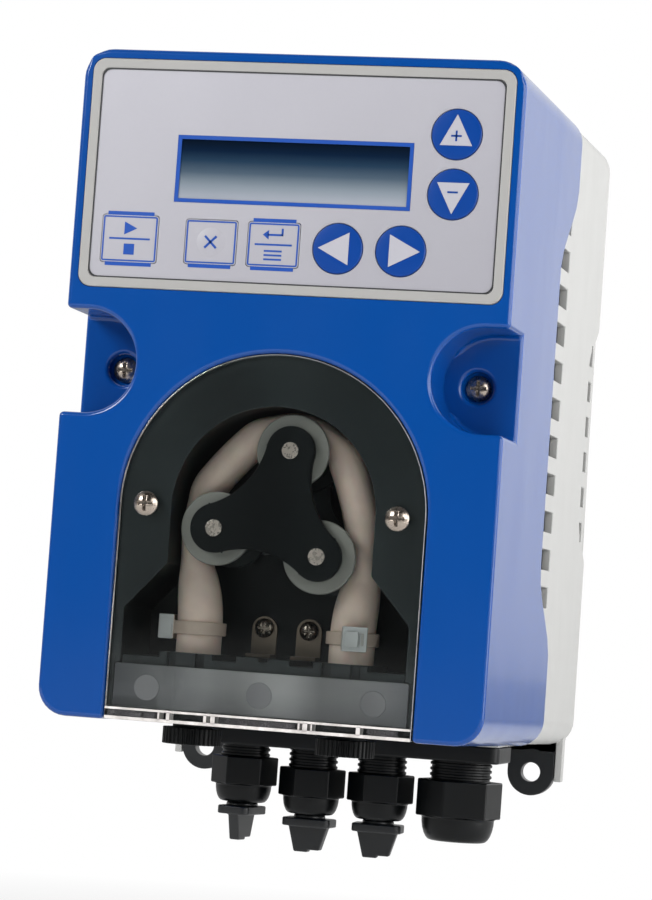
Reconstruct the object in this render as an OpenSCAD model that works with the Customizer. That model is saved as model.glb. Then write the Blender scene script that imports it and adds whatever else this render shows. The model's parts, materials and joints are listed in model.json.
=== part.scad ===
// Wall-mounted peristaltic dosing pump.
// X runs to the right, the wall is the plane Y = 0 with the pump in front of it (towards -Y), Z is up.
// The origin lies on the wall, midway between the two holes of the wall lugs.
// Inside front_frame() Y counts from the cover's front face towards the wall and
// Z counts from the cover's lower front edge.

/* [Case] */
// Width of the front cover's face
cover_w = 124; // [118:0.5:150]
// Height of the front cover's face
cover_h = 184.4; // [180:0.2:225]
// Distance from the cover's face to the wall
body_d = 155; // [150:1:190]
// How far each side leans out from the face to the wall
side_flare = 3; // [0.5:0.1:5]
// How far the top and bottom lean out from the face to the wall
end_flare = 2.6; // [0.5:0.1:4]
// Corner radius of the case seen from the front
case_r = 8; // [5:0.5:12]
// Wall thickness of the cover and the housing
wall = 2.6; // [2:0.1:3.5]
// Depth of the blue skirt at the top and the bottom
skirt_end = 96; // [94:0.5:108]
// Depth of the blue skirt at mid height
skirt_mid = 73; // [60:0.5:90]

/* [Control panel] */
// Width of the panel frame
panel_w = 118.6; // [112:0.1:119]
// Height of the panel frame
panel_h = 63.5; // [60:0.1:70]
// Width of the frame's visible border
frame_border = 2.7; // [1.5:0.1:3]
// Depth of the recess that holds the panel
panel_depth = 1.5; // [1:0.1:1.8]
// Width of the display window
window_w = 65.7; // [50:0.1:68]
// Height of the display window
window_h = 18.2; // [12:0.1:22]
// Diameter of the round keys
round_key_d = 13.8; // [10:0.1:15]
// How far a key travels
key_travel = 0.5; // [0.2:0.1:0.8]

/* [Pump head] */
// Radius of the arched opening for the pump head
arch_r = 42.9; // [42:0.1:44]
// Radius of the track that the tube lies against
track_r = 28.4; // [28.2:0.1:30]
// Depth of the tube chamber
chamber_d = 28; // [26:0.5:34]
// Radius of the circle of roller pins
pin_circle_r = 17.2; // [16:0.1:17.2]
// Radius of a roller's flanges
roller_r = 10.1; // [8:0.1:10.1]
// Radius of a roller's barrel, which squeezes the tube
barrel_r = 7; // [6.5:0.1:7.2]
// Length of a roller
roller_l = 20; // [16:0.5:24]
// Turn of the rotor at rest
rotor_turn = 78.3; // [70:0.1:85]

/* [Tube] */
// Outer diameter of the pump tube
tube_od = 10.3; // [8:0.1:10.3]
// Outer diameter of the tube where it is pushed over its connector
tube_end_od = 12.5; // [11:0.1:13]
// Distance of each tube connector from the middle
connector_x = 21.6; // [20:0.1:24]

/* [Cable glands] */
// Pitch of the three small glands
gland_pitch = 20.5; // [20:0.1:22]
// Distance across the corners of a small gland nut
small_nut_d = 19.6; // [18:0.1:19.8]
// Distance across the corners of the large gland nut
large_nut_d = 25; // [23:0.1:25.6]
// Place of the large gland from the middle
large_gland_x = 43.8; // [43.4:0.1:44.2]

/* [Wall bracket] */
// Distance between the two lug holes
lug_spacing = 105.4; // [100:0.2:107]
// Radius of a lug hole
lug_hole_r = 3; // [2:0.1:3.6]
// Radius of a lug's rounded end
lug_r = 7.3; // [6:0.1:7.4]
// Height of the cover's lower edge above the lug holes
lug_drop = 11; // [9:0.1:14]

/* [Drive] */
// Gear module
gear_m = 0.8; // [0.8:0.1:0.8]
// Teeth of each large gear
wheel_teeth = 48; // [36:12:48]
// Teeth of each pinion
pinion_teeth = 12; // [12:1:12]
// Width of the output gear
gear_w = 5; // [4:0.5:5]
// Radius of the motor can
motor_r = 18; // [14:0.5:20]
// Length of the motor can
motor_l = 48; // [30:1:56]

/* [Hidden] */
$fn = 64;
eps = 0.01;
cut = 1;
gap = 0.15;
run_gap = 0.05;

// Case
step_in = 0.5;
tongue_l = 6;
tongue_gap = 0.3;
vent_pitch = 11.03;
vent_count = 12;
vent_h = 6;
vent_top_z = 152.7;
vent_end_y = 91;
vent_inner_x = cover_w / 2 - wall - 3;
rear_vent_first = 3;
rear_vent_last = 8;
rear_recess = 1.4;
back_y = body_d - 7;
back_t = 3;
scallop_r = 14.3;
scallop_z = 97.6;
scallop_x = cover_w / 2 - 6.5;
scallop_floor = 20.5;
case_screw_x = cover_w / 2 - 11.5;
case_screw_head_r = 3.5;
case_screw_r = 2;
post_r = 5;

// Panel, measured from the middle of the face and the cover's lower edge
panel_z = cover_h - 2.8 - panel_h / 2;
panel_r = 3.6;
window_x = -0.6;
window_z = panel_z + 1.8;
switch_row_z = panel_z - 18.2;
key_proud = 0.6;
key_plate = 1.2;
stem_r = 1.8;
board_y = 15;
board_t = 1.6;
switch_s = 6;
round_keys = [
    [43.9, panel_z + 13.8],
    [43.9, panel_z - 2.5],
    [13.3, switch_row_z - 0.3],
    [30.7, switch_row_z - 0.3]
];
square_keys = [
    [-45.4, switch_row_z, 15.9, 13],
    [-22.3, switch_row_z, 14.5, 12.2],
    [-4.7, switch_row_z, 14.5, 12.2]
];

// Pump head
head_z = 59.3;
pane_t = 1.5;
head_y = 2;
head_gap = 0.4;
chamber_y = head_y + chamber_d;
head_back_t = 3;
head_back_y = chamber_y + head_back_t;
chamber_w = 79.2;
chamber_floor_z = 3.8;
shelf_z = 19.5;
strip_h = 11.8;
strip_w = chamber_w + 2.6;
strip_t = 1.2;
flare_z = 43.5;
wide_z = 30.8;
pane_lip_h = 3.4;
pane_lip_d = 6;
cover_screw_x = 35;
cover_screw_r = 1.5;
cover_screw_head_r = 3.35;
cover_screw_head_h = 2.3;
tube_y = head_y + chamber_d / 2;
roller_y = tube_y - roller_l / 2;
flange_t = 1.5;
plate_t = 2.3;
front_plate_y = roller_y - plate_t - 0.8;
rear_plate_y = roller_y + roller_l + 0.6;
pin_r = 2;
pin_head_r = 2.3;
arm_r = 6.75;
arm_waist = 11.3;
shaft_r = 4;
hub_r = 6;

// Tube and its connectors
barb_r = 4.2;
barb_l = 11;
collar_r = 5.6;
collar_h = 2;
hose_bore_r = 3.05;
hose_bore_l = 14;
nut_r = 8.15;
nut_h = 4.6;
tie_z = 26.4;
tie_h = 3.6;
tie_t = 1;
leg_bend_z = tie_z + tie_h / 2 + 0.6;
tube_sides = 12;
tube_arc_steps = 44;
tube_leg_steps = 11;
squeeze_gap = 0.4;

// Leak contacts
contact_x = 6.4;
contact_w = 7.2;
contact_h = 11.6;
contact_t = 1;
contact_screw_r = 1.4;
contact_head_r = 2.7;

// Drive
wheel_r = gear_m * wheel_teeth / 2;
pinion_r = gear_m * pinion_teeth / 2;
gear_c = wheel_r + pinion_r;
idler_z = head_z + gear_c;
bearing_r = 8;
bearing_w = 4;
bearing_1_y = head_back_y + 0.2;
bearing_2_y = bearing_1_y + bearing_w + 0.6;
output_gear_y = bearing_2_y + bearing_w + 1;
idler_wheel_y = output_gear_y + gear_w + 2;
idler_shaft_r = 2;
box_wall = 2;
box_y = head_back_y;
box_end_y = idler_wheel_y + gear_w + 2;
box_cover_t = 3;
box_r = wheel_r + 3.6;
motor_y = box_end_y + box_cover_t;
motor_shaft_r = 1.5;

// Electronics behind the pump head
power_board_y = back_y - 14;
power_board_w = 84;
power_board_h = 130;
terminal_w = 62;

// Glands
gland_y = 75;
gland_x = [-gland_pitch, 0, gland_pitch, large_gland_x];
gland_thread_r = [7.15, 7.15, 7.15, 8.95];
gland_nut_d = [small_nut_d, small_nut_d, small_nut_d, large_nut_d];
gland_bore_r = [4.5, 4.5, 4.5, 6];
gland_turn = [12, 12, 12, 18];
plate_top_z = -1.5;
plate_h = 4.9;
plate_low_z = plate_top_z - plate_h;
plate_x0 = -gland_pitch - 10.6;
plate_x1 = large_gland_x + 12.6;
plate_y0 = gland_y - 12.6;
plate_y1 = gland_y + 12.6;
bay_y0 = plate_y0 - 1;
nut_top_z = [-10, -12, -12, -12.1];
nut_hex_h = [8.2, 8.2, 8.2, 10.6];
nut_dome_h = [5.1, 5.1, 5.1, 6.9];
nut_hole_r = [5, 5, 5, 6.6];
seal_len = [10, 10, 10, 13];
seal_r_in = [2.6, 2.6, 2.6, 5.2];
plug_turn = [78, -4, 3];

// Wall bracket
bracket_t = 3.6;
lug_d = 5;
lug_web = 2.4;
lug_rim = 1.4;
lug_x = lug_spacing / 2;

blue = "#11509c";
white = "#dcdcd8";
black = "#1b1e20";
steel = "#c8c8c4";
pale_grey = "#c3c2c8";

// Moves what follows into the cover's own frame
module front_frame() {
    translate([0, -body_d, lug_drop]) children();
}

// Extrudes an outline drawn in X and Z along Y, from y0 over t
module slab(y0, t) {
    translate([0, y0 + t, 0]) rotate([90, 0, 0]) linear_extrude(t) children();
}

// A round bar along Y
module bar_y(x, z, r, y0, l) {
    translate([x, y0 + l, z]) rotate([90, 0, 0]) cylinder(r = r, h = l);
}

// Rectangle with round corners
module round_rect(w, h, r) {
    square([w - 2 * r, h], center = true);
    square([w, h - 2 * r], center = true);
    for (x = [-1, 1], z = [-1, 1]) translate([x * (w / 2 - r), z * (h / 2 - r)]) circle(r);
}

// Half width and half height of the case at depth y
function half_w(y) = cover_w / 2 + side_flare * y / body_d;
function half_h(y) = cover_h / 2 + end_flare * y / body_d;

// The leaning outer shape of the case, drawn in by inset, between two depths
module case_shape(inset, y0, y1) {
    hull() for (y = [y0, y1 - eps]) {
        translate([0, 0, cover_h / 2]) slab(y, eps)
            round_rect(2 * (half_w(y) - inset), 2 * (half_h(y) - inset), case_r - inset * 0.7, $fn = 32);
    }
}

// Smooth step from 0 to 1
function smooth(t) = let (u = min(1, max(0, t))) u * u * (3 - 2 * u);

// Depth of the joint line between cover and housing at height z
function joint_y(z) = skirt_mid
    + (skirt_end - skirt_mid) * (smooth((z - 137) / (cover_h - 20 - 137)) + smooth((50 - z) / 26));

// Everything in front of the joint line, moved back by shift
module ahead_of_joint(shift) {
    pts = [for (i = [0:40]) let (z = -10 + i * (cover_h + 20) / 40) [joint_y(z) + shift, z]];
    translate([-cover_w, 0, 0]) rotate([90, 0, 90])
        linear_extrude(2 * cover_w) polygon(concat([[-5, cover_h + 10], [-5, -10]], pts));
}

// Outline of the arched opening, grown by grow
module arch(grow) {
    translate([0, head_z]) circle(arch_r + grow);
    translate([-arch_r - grow, -cut]) square([2 * (arch_r + grow), head_z + cut]);
}

// Outline of the scallops beside the arch, grown by grow
module scallop_outline(grow) {
    for (s = [-1, 1]) translate([s * scallop_x, scallop_z]) {
        circle(scallop_r + grow);
        translate([s > 0 ? 0 : -20, -scallop_r - grow]) square([20, 2 * (scallop_r + grow)]);
    }
}

// Pan head with a cross recess, its seat at y = 0, facing -Y
module pan_head(r, h) {
    difference() {
        intersection() {
            bar_y(0, 0, r, -h, h);
            translate([0, 1.35 * r - h, 0]) sphere(1.35 * r);
        }
        for (a = [0, 90]) rotate([0, a, 0])
            translate([-0.62 * r, -h - cut, -0.13 * r]) cube([1.24 * r, h * 0.6 + cut, 0.26 * r]);
    }
}

// Pan-head screw with its head's seat at y = 0
module pan_screw(head_r, head_h, r, l) {
    pan_head(head_r, head_h);
    bar_y(0, 0, r, -eps, l);
}

module front_cover() {
    color(blue) front_frame() difference() {
        union() {
            difference() {
                case_shape(0, 0, skirt_end + 4);
                case_shape(wall, wall + 0.4, skirt_end + 5);
            }
            intersection() {
                slab(0, scallop_floor + 6) scallop_outline(wall);
                case_shape(0, 0, skirt_end);
            }
            for (x = [-1, 1], z = [-1, 1])
                bar_y(x * 51, panel_z + z * 26, 3, wall, board_y - wall);
        }
        difference() {
            translate([-cover_w, 30, -20]) cube([2 * cover_w, 2 * body_d, cover_h + 40]);
            ahead_of_joint(0);
        }
        slab(-cut, scallop_floor + cut) scallop_outline(0);
        slab(-cut, chamber_y + head_back_t + cut + 1.5) arch(0);
        for (s = [-1, 1]) {
            bar_y(s * case_screw_x, scallop_z - 0.3, case_screw_head_r + 0.9, scallop_floor - cut, 3.5 + cut);
            bar_y(s * case_screw_x, scallop_z - 0.3, case_screw_r + 0.2, scallop_floor, 8);
        }
        translate([0, 0, panel_z]) slab(-cut, panel_depth + cut)
            round_rect(panel_w + 0.3, panel_h + 0.3, panel_r);
        translate([window_x, 0, window_z]) slab(0, wall + cut)
            square([window_w - 3, window_h - 3], center = true);
        for (k = concat(round_keys, square_keys)) bar_y(k[0], k[1], stem_r + 0.3, 0, wall + cut);
        // Bay for the gland plate
        translate([plate_x0 - 1, bay_y0 - 1, -8]) cube([plate_x1 - plate_x0 + 2, skirt_end, 16]);
    }
}

// Vents cut through both side walls between two depths, from row first to row last
module vents(y0, y1, first, last) {
    for (i = [first:last])
        for (x = [-vent_inner_x - cover_w, vent_inner_x])
            translate([x, y0, vent_top_z - i * vent_pitch - vent_h / 2]) cube([cover_w, y1 - y0, vent_h]);
}

module rear_housing() {
    side_in = half_w(body_d) - rear_recess;
    color(white) front_frame() difference() {
        union() {
            difference() {
                case_shape(step_in, skirt_mid, body_d);
                case_shape(step_in + wall, skirt_mid - cut, body_d + cut);
                ahead_of_joint(tongue_gap);
            }
            // Tongue that slides inside the cover's skirt
            intersection() {
                difference() {
                    case_shape(wall + tongue_gap, skirt_mid - tongue_l, body_d);
                    case_shape(wall + tongue_gap + 1.6, skirt_mid - tongue_l - cut, body_d + cut);
                    ahead_of_joint(-tongue_l);
                }
                ahead_of_joint(6);
            }
            // Back wall
            intersection() {
                translate([-cover_w, back_y, -20]) cube([2 * cover_w, back_t, cover_h + 40]);
                case_shape(step_in + 1, back_y - cut, body_d);
            }
            // Floor of the cable bay
            translate([plate_x0, bay_y0, plate_top_z]) cube([plate_x1 - plate_x0, skirt_end + 6 - bay_y0, 3]);
            // Posts for the case screws
            for (s = [-1, 1])
                bar_y(s * case_screw_x, scallop_z - 0.3, post_r, scallop_floor + 6.2,
                    back_y - scallop_floor - 6);
            // Posts for the power board
            for (x = [-1, 1], z = [38, 38 + power_board_h - 12])
                bar_y(x * (power_board_w / 2 - 5), z, 3, power_board_y + board_t, back_y - power_board_y);
            // Ribs beside the wall lugs
            for (s = [-1, 1]) translate([s * 61.3 - 1.1, body_d - lug_d, -13.5]) cube([2.2, lug_d - 0.5, 15]);
        }
        // Pilot holes
        for (s = [-1, 1]) bar_y(s * case_screw_x, scallop_z - 0.3, case_screw_r, scallop_floor + 5, 24);
        for (i = [0:3])
            translate([gland_x[i], gland_y, -8]) cylinder(r = gland_thread_r[i] + gap, h = 16);
        vents(skirt_mid - tongue_l - cut, vent_end_y, 0, vent_count - 1);
        // Side recesses at the wall with a second row of vents
        for (s = [-1, 1]) intersection() {
            translate([s > 0 ? side_in : -side_in - 10, 0, 0]) cube([10, body_d + cut, cover_h]);
            rear_side_zone();
        }
        vents(body_d - 12, body_d - 3.5, rear_vent_first, rear_vent_last);
        // Openings at the bottom for the wall lugs
        for (s = [-1, 1]) translate([s * lug_x - lug_r - 0.3, back_y + back_t, -8])
            cube([2 * lug_r + 0.6, body_d, 16]);
    }
}

// The curved zone of the side recess, seen from the side
module rear_side_zone() {
    hi = vent_top_z - (rear_vent_first - 1) * vent_pitch;
    lo = vent_top_z - (rear_vent_last + 1) * vent_pitch;
    pts = [for (i = [0:28]) let (z = lo + (hi - lo) * i / 28,
        s = smooth((z - lo) / 14) * smooth((hi - z) / 14)) [body_d + 1 - 16 * s, z]];
    translate([-cover_w, 0, 0]) rotate([90, 0, 90])
        linear_extrude(2 * cover_w) polygon(concat([[body_d + 2, hi], [body_d + 2, lo]], pts));
}

module wall_bracket() {
    plate_w = 2 * (half_w(body_d) - wall - step_in - 1.6);
    color(black) front_frame() difference() {
        union() {
            translate([0, 0, cover_h / 2]) slab(body_d - bracket_t, bracket_t)
                round_rect(plate_w, cover_h - 8, 6);
            for (s = [-1, 1]) slab(body_d - bracket_t, bracket_t)
                translate([s * lug_x - lug_r, -lug_drop]) square([2 * lug_r, lug_drop + 8]);
            for (s = [-1, 1]) slab(body_d - lug_d, lug_d) {
                translate([s * lug_x, -lug_drop]) circle(lug_r);
                translate([s * lug_x - lug_r, -lug_drop]) square([2 * lug_r, lug_drop - 4.2]);
            }
        }
        for (s = [-1, 1]) {
            bar_y(s * lug_x, -lug_drop, lug_hole_r, body_d - lug_d - cut, lug_d + 2 * cut);
            // Hollow behind each lug
            difference() {
                slab(body_d - lug_d + lug_web, lug_d) translate([s * lug_x, -lug_drop])
                    circle(lug_r - lug_rim);
                slab(body_d - lug_d, lug_d) translate([s * lug_x, -lug_drop]) circle(lug_hole_r + 1.6);
            }
        }
        // Windows that lighten the plate
        for (x = [-36, -12, 12, 36], z = [46, 96, 146])
            translate([x, 0, z]) slab(body_d - bracket_t - cut, bracket_t + 2 * cut) round_rect(14, 36, 5);
    }
}

module case_screws() {
    color(steel) front_frame() for (s = [-1, 1])
        translate([s * case_screw_x, scallop_floor + 3.5, scallop_z - 0.3])
            pan_screw(case_screw_head_r, 2.4, case_screw_r - 0.02, 20);
}

module panel_frame() {
    color("#9d9c98") front_frame() translate([0, 0, panel_z]) slab(-0.4, panel_depth + 0.4) difference() {
        round_rect(panel_w, panel_h, panel_r);
        round_rect(panel_w - 2 * frame_border, panel_h - 2 * frame_border, panel_r - 1.5);
    }
}

module keypad_facia() {
    color(pale_grey) front_frame() slab(0, panel_depth) difference() {
        translate([0, panel_z]) round_rect(panel_w - 2 * frame_border - 2 * gap,
            panel_h - 2 * frame_border - 2 * gap, panel_r - 1.7);
        translate([window_x, window_z]) square([window_w + 2 * gap, window_h + 2 * gap], center = true);
        for (k = round_keys) translate([k[0], k[1]]) circle(round_key_d / 2 + gap);
        for (k = square_keys) translate([k[0], k[1]]) round_rect(k[2] + 2 * gap, k[3] + 2 * gap, 0.8);
    }
}

module display_window() {
    color("#20304a") front_frame() translate([window_x, 0, window_z]) {
        slab(0.2, panel_depth - 0.2) square([window_w, window_h], center = true);
        slab(panel_depth, 1) square([window_w - 3.2, window_h - 3.2], center = true);
    }
}

module display_module() {
    color("#2f3a35") front_frame() translate([window_x, 0, window_z]) {
        slab(wall + 0.6, 6) square([71.3, 24.3], center = true);
        slab(wall + 6.6, 1.6) square([80, 30], center = true);
        slab(wall + 8.2, board_y - wall - 8.2) translate([0, 11]) square([40, 5], center = true);
    }
}

module control_board() {
    color("#1f6b3a") front_frame() translate([0, 0, panel_z]) {
        slab(board_y, board_t) round_rect(110, 58, 2);
        for (x = [-36, -8, 22]) translate([x, 0, 6]) slab(board_y + board_t, 2.2)
            square([12, 12], center = true);
        translate([38, 0, 8]) slab(board_y + board_t, 9) square([9, 26], center = true);
    }
}

module key_switches() {
    color("#30302e") front_frame() for (k = concat(round_keys, square_keys))
        translate([k[0], 0, k[1]])
            slab(stem_end_y() + key_travel + 0.2, board_y - stem_end_y() - key_travel - 0.2)
            square(switch_s, center = true);
}

// Depth where the key stems end
function stem_end_y() = board_y - 5;

module key_stem(k) {
    bar_y(k[0], k[1], stem_r, -key_proud + key_plate - eps, stem_end_y() + key_proud - key_plate);
}

module round_key(i) {
    color("#1450a0") front_frame() {
        bar_y(round_keys[i][0], round_keys[i][1], round_key_d / 2, -key_proud, key_plate);
        key_stem(round_keys[i]);
    }
}

module square_key(i) {
    k = square_keys[i];
    color(pale_grey) front_frame() {
        translate([k[0], 0, k[1]]) slab(-key_proud, key_plate) round_rect(k[2], k[3], 0.8);
        key_stem(k);
    }
}

// Outline of the chamber below the round track
module chamber_low() {
    half = chamber_w / 2;
    polygon([[-track_r, head_z], [-track_r, flare_z], [-half, wide_z], [-half, chamber_floor_z],
        [half, chamber_floor_z], [half, wide_z], [track_r, flare_z], [track_r, head_z]]);
}

module pump_head_housing() {
    color("#262b2c") front_frame() difference() {
        union() {
            intersection() {
                slab(head_y, head_back_y - head_y) arch(-head_gap);
                translate([-cover_w, 0, 0]) cube([2 * cover_w, body_d, cover_h]);
            }
            // Flange behind the cover's face
            intersection() {
                slab(wall + 0.5, 3) arch(4);
                translate([-cover_w, 0, wall + 1]) cube([2 * cover_w, body_d, cover_h]);
            }
        }
        slab(head_y - cut, chamber_d + cut) {
            translate([0, head_z]) circle(track_r);
            chamber_low();
        }
        for (s = [-1, 1]) bar_y(s * cover_screw_x, head_z, cover_screw_r, head_y - cut, 12);
        bar_y(0, head_z, shaft_r + 0.6, chamber_y - cut, head_back_t + 2 * cut);
        // Rebate for the clear cover's lower lip
        translate([-cover_w, -cut, -cut]) cube([2 * cover_w, pane_lip_d + 0.3 + cut, chamber_floor_z + cut]);
        for (s = [-1, 1]) translate([s * connector_x, tube_y, -cut]) cylinder(r = collar_r, h = 8);
        for (s = [-1, 1]) bar_y(s * contact_x, shelf_z + 8.2, contact_screw_r, chamber_y - cut, head_back_t);
        // Seat of the strip plate
        translate([0, 0, chamber_floor_z + strip_h / 2])
            slab(head_y - cut, pane_t + strip_t + gap - head_y + cut)
                round_rect(strip_w + 2 * gap, strip_h + 2 * gap, 0.7);
    }
}

module clear_cover() {
    color("#cfd6d8", 0.3) front_frame() difference() {
        union() {
            intersection() {
                slab(0, pane_t) arch(-0.3);
                translate([-cover_w, -cut, 0.2]) cube([2 * cover_w, 10, cover_h]);
            }
            translate([-arch_r + 0.3, pane_t - eps, 0.2])
                cube([2 * arch_r - 0.6, pane_lip_d - pane_t, pane_lip_h]);
        }
        for (s = [-1, 1]) bar_y(s * cover_screw_x, head_z, cover_screw_r + 0.2, -cut, pane_t + 2 * cut);
    }
}

module clear_cover_screws() {
    color(steel) front_frame() for (s = [-1, 1])
        translate([s * cover_screw_x, 0, head_z])
            pan_screw(cover_screw_head_r, cover_screw_head_h, cover_screw_r - 0.02, 11);
}

module strip_plate() {
    color("#8a8a88") front_frame() translate([0, 0, chamber_floor_z + strip_h / 2])
        slab(pane_t, strip_t) round_rect(strip_w, strip_h, 0.6);
}

module tube_holder() {
    top = shelf_z;
    color("#202425") front_frame() difference() {
        union() {
            translate([-chamber_w / 2 + gap, head_y + 1, chamber_floor_z])
                cube([chamber_w - 2 * gap, chamber_y - head_y - 1, top - chamber_floor_z - 1.5]);
            // Raised pads beside the tube ends
            for (x = [-connector_x, 0, connector_x])
                translate([x - 7.5, head_y + 1, top - 1.5 - eps])
                    cube([15, chamber_y - head_y - 1, 1.5 + eps]);
        }
        for (s = [-1, 1]) {
            translate([s * connector_x, tube_y, 0]) cylinder(r = collar_r, h = top - collar_h);
            translate([s * connector_x, tube_y, 0]) cylinder(r = collar_r + 1, h = 7);
            translate([s * connector_x, tube_y, 0]) cylinder(r = barb_r + run_gap, h = top + cut);
            translate([s * connector_x - 5.2, head_y, top - 4]) cube([2.4, 3, 5]);
            translate([s * connector_x + 2.8, head_y, top - 4]) cube([2.4, 3, 5]);
        }
        // Drain notch between the contacts
        translate([-1.2, head_y, top - 1]) cube([2.4, chamber_d, 2]);
    }
}

// Half the angle that a straight span between two neighbouring rollers takes
span_half = atan(pin_circle_r * sin(60) / (pin_circle_r * cos(60) + barrel_r));
// Angle from a to the nearest roller
function off_roller(a) = min([for (i = [-1:1]) abs(a - rotor_turn - 120 * i)]);
// Distance of the barrels' outer side from the rotor's axis at angle a
function barrel_reach(a) = let (d = off_roller(a)) d < 60 - span_half
    ? pin_circle_r * cos(d) + sqrt(barrel_r * barrel_r - pow(pin_circle_r * sin(d), 2))
    : (pin_circle_r * cos(60) + barrel_r) / cos(60 - d);
// Room for the tube at angle a outside radius r; the chamber's walls are upright below the rotor's axis
function tube_room(a, r) = let (c = sin(a) > 0 ? 1 : abs(cos(a)))
    2 * (track_r - run_gap - r * c) / (1 + c);
// Station of the tube at angle a: X, Z and half its thickness there
function arc_station(a) = let (inner = barrel_reach(a) + squeeze_gap,
    t = min(tube_od, tube_room(a, inner)), r = inner + t / 2, c = [r * cos(a), head_z + r * sin(a)])
    [c[0], c[1], min(t / 2, min([for (i = [0:2]) norm(c - pin_at(i)) - barrel_r - squeeze_gap]))];
// Leg from the connector up to the first roller, side s: straight as far as the tie, then bent
function leg_station(s, t, top) =
    let (z = shelf_z + (top[1] - shelf_z) * t, bend = max(0, (z - leg_bend_z) / (top[1] - leg_bend_z)),
        r = tube_end_od / 2)
    [s * connector_x + (top[0] - s * connector_x) * pow(bend, 1.4), z, r + (top[2] - r) * pow(bend, 3)];
left_end = rotor_turn + 120 + 10;
right_end = rotor_turn - 120 + 10;
tube_path = concat(
    [for (i = [0:tube_leg_steps - 1]) leg_station(-1, i / tube_leg_steps, arc_station(left_end))],
    [for (i = [0:tube_arc_steps]) arc_station(left_end + (right_end - left_end) * i / tube_arc_steps)],
    [for (i = [tube_leg_steps - 1:-1:0]) leg_station(1, i / tube_leg_steps, arc_station(right_end))]
);
function tangent(i) = let (n = len(tube_path), a = tube_path[max(0, i - 1)], b = tube_path[min(n - 1, i + 1)],
    d = [b[0] - a[0], b[1] - a[1]]) i == 0 ? [0, 1] : i == n - 1 ? [0, -1] : d / norm(d);
// Rings across the path; where the tube is squeezed it grows wider along Y
tube_rings = [for (i = [0:len(tube_path) - 1]) let (p = tube_path[i], t = tangent(i),
    w = p[2] + max(0, tube_od / 2 - p[2]) * 1.55)
    [for (k = [0:tube_sides - 1]) let (a = (k + 0.5) * 360 / tube_sides)
        [p[0] - t[1] * p[2] * cos(a), tube_y + w * sin(a), p[1] + t[0] * p[2] * cos(a)]]];

module pump_tube() {
    n = len(tube_rings);
    m = tube_sides;
    sides = [for (i = [0:n - 2], k = [0:m - 1])
        [i * m + k, i * m + (k + 1) % m, (i + 1) * m + (k + 1) % m, (i + 1) * m + k]];
    ends = [[for (k = [m - 1:-1:0]) k], [for (k = [0:m - 1]) (n - 1) * m + k]];
    color("#b9a596") front_frame() difference() {
        polyhedron(points = [for (r = tube_rings) each r], faces = concat(sides, ends));
        for (s = [-1, 1]) translate([s * connector_x, tube_y, shelf_z - cut])
            cylinder(r = barb_r + run_gap, h = barb_l + 1.4);
    }
}

// Zip tie round a tube end; turn aims its head, 0 = +X
module tube_tie(s, turn) {
    r = tube_end_od / 2 + run_gap;
    color("#d9dcdc") front_frame() translate([s * connector_x, tube_y, tie_z - tie_h / 2]) {
        difference() {
            cylinder(r = r + tie_t, h = tie_h);
            translate([0, 0, -cut]) cylinder(r = r, h = tie_h + 2 * cut);
        }
        rotate([0, 0, turn]) difference() {
            translate([r + 0.1, -3.4, tie_h / 2 - 3.4]) cube([4.6, 6.8, 6.8]);
            translate([0, 0, -5]) cylinder(r = r + tie_t - eps, h = tie_h + 10);
        }
    }
}

module tube_connector(s) {
    color("#2a2e30") front_frame() translate([s * connector_x, tube_y, 0]) difference() {
        union() {
            translate([0, 0, -4]) cylinder(r = collar_r - 0.1, h = shelf_z - collar_h + 4);
            translate([0, 0, chamber_floor_z]) cylinder(r = collar_r + 0.9, h = 3);
            cylinder(r = barb_r, h = shelf_z + barb_l);
        }
        translate([0, 0, -4 - cut]) cylinder(r = hose_bore_r, h = hose_bore_l + cut);
        cylinder(r = 2, h = shelf_z + barb_l + cut);
    }
}

// Knurled nut that clamps the hose below the pump head
module connector_nut(s) {
    teeth = 36;
    color(black) front_frame() translate([s * connector_x, tube_y, -1 - nut_h]) difference() {
        linear_extrude(nut_h) polygon([for (i = [0:4 * teeth - 1])
            let (r = i % 4 < 2 ? nut_r : nut_r - 0.5, a = (i + 0.5) * 90 / teeth) [r * cos(a), r * sin(a)]]);
        translate([0, 0, nut_h - 3.2]) cylinder(r = collar_r - 0.1 + run_gap, h = 4);
        translate([0, 0, -cut]) cylinder(r = hose_bore_r + 0.3, h = nut_h + 2 * cut);
    }
}

module leak_contacts() {
    color("#b8b0a4") front_frame() for (s = [-1, 1]) translate([s * contact_x, 0, shelf_z]) difference() {
        union() {
            slab(chamber_y - contact_t, contact_t) {
                translate([-contact_w / 2, 0]) square([contact_w, contact_h - contact_w / 2]);
                translate([0, contact_h - contact_w / 2]) circle(contact_w / 2);
            }
            translate([-contact_w / 2, chamber_y - 7, 0]) cube([contact_w, 7, contact_t]);
        }
        bar_y(0, 8.2, contact_screw_r, chamber_y - 3, 4);
    }
}

module inner_screws() {
    color(steel) front_frame() {
        for (s = [-1, 1]) translate([s * contact_x, chamber_y - contact_t, shelf_z + 8.2])
            pan_screw(contact_head_r, 1.8, contact_screw_r - 0.02, head_back_t);
        for (s = [-1, 1], z = [head_z - 15, idler_z + 15])
            translate([s * (box_r - 2.2), box_end_y + box_cover_t, z]) rotate([180, 0, 0])
                pan_screw(2.4, 1.6, 1.28, 9);
    }
}

// Centre of roller i, seen from the front
function pin_at(i) = let (a = rotor_turn + 120 * i) [pin_circle_r * cos(a), head_z + pin_circle_r * sin(a)];

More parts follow.
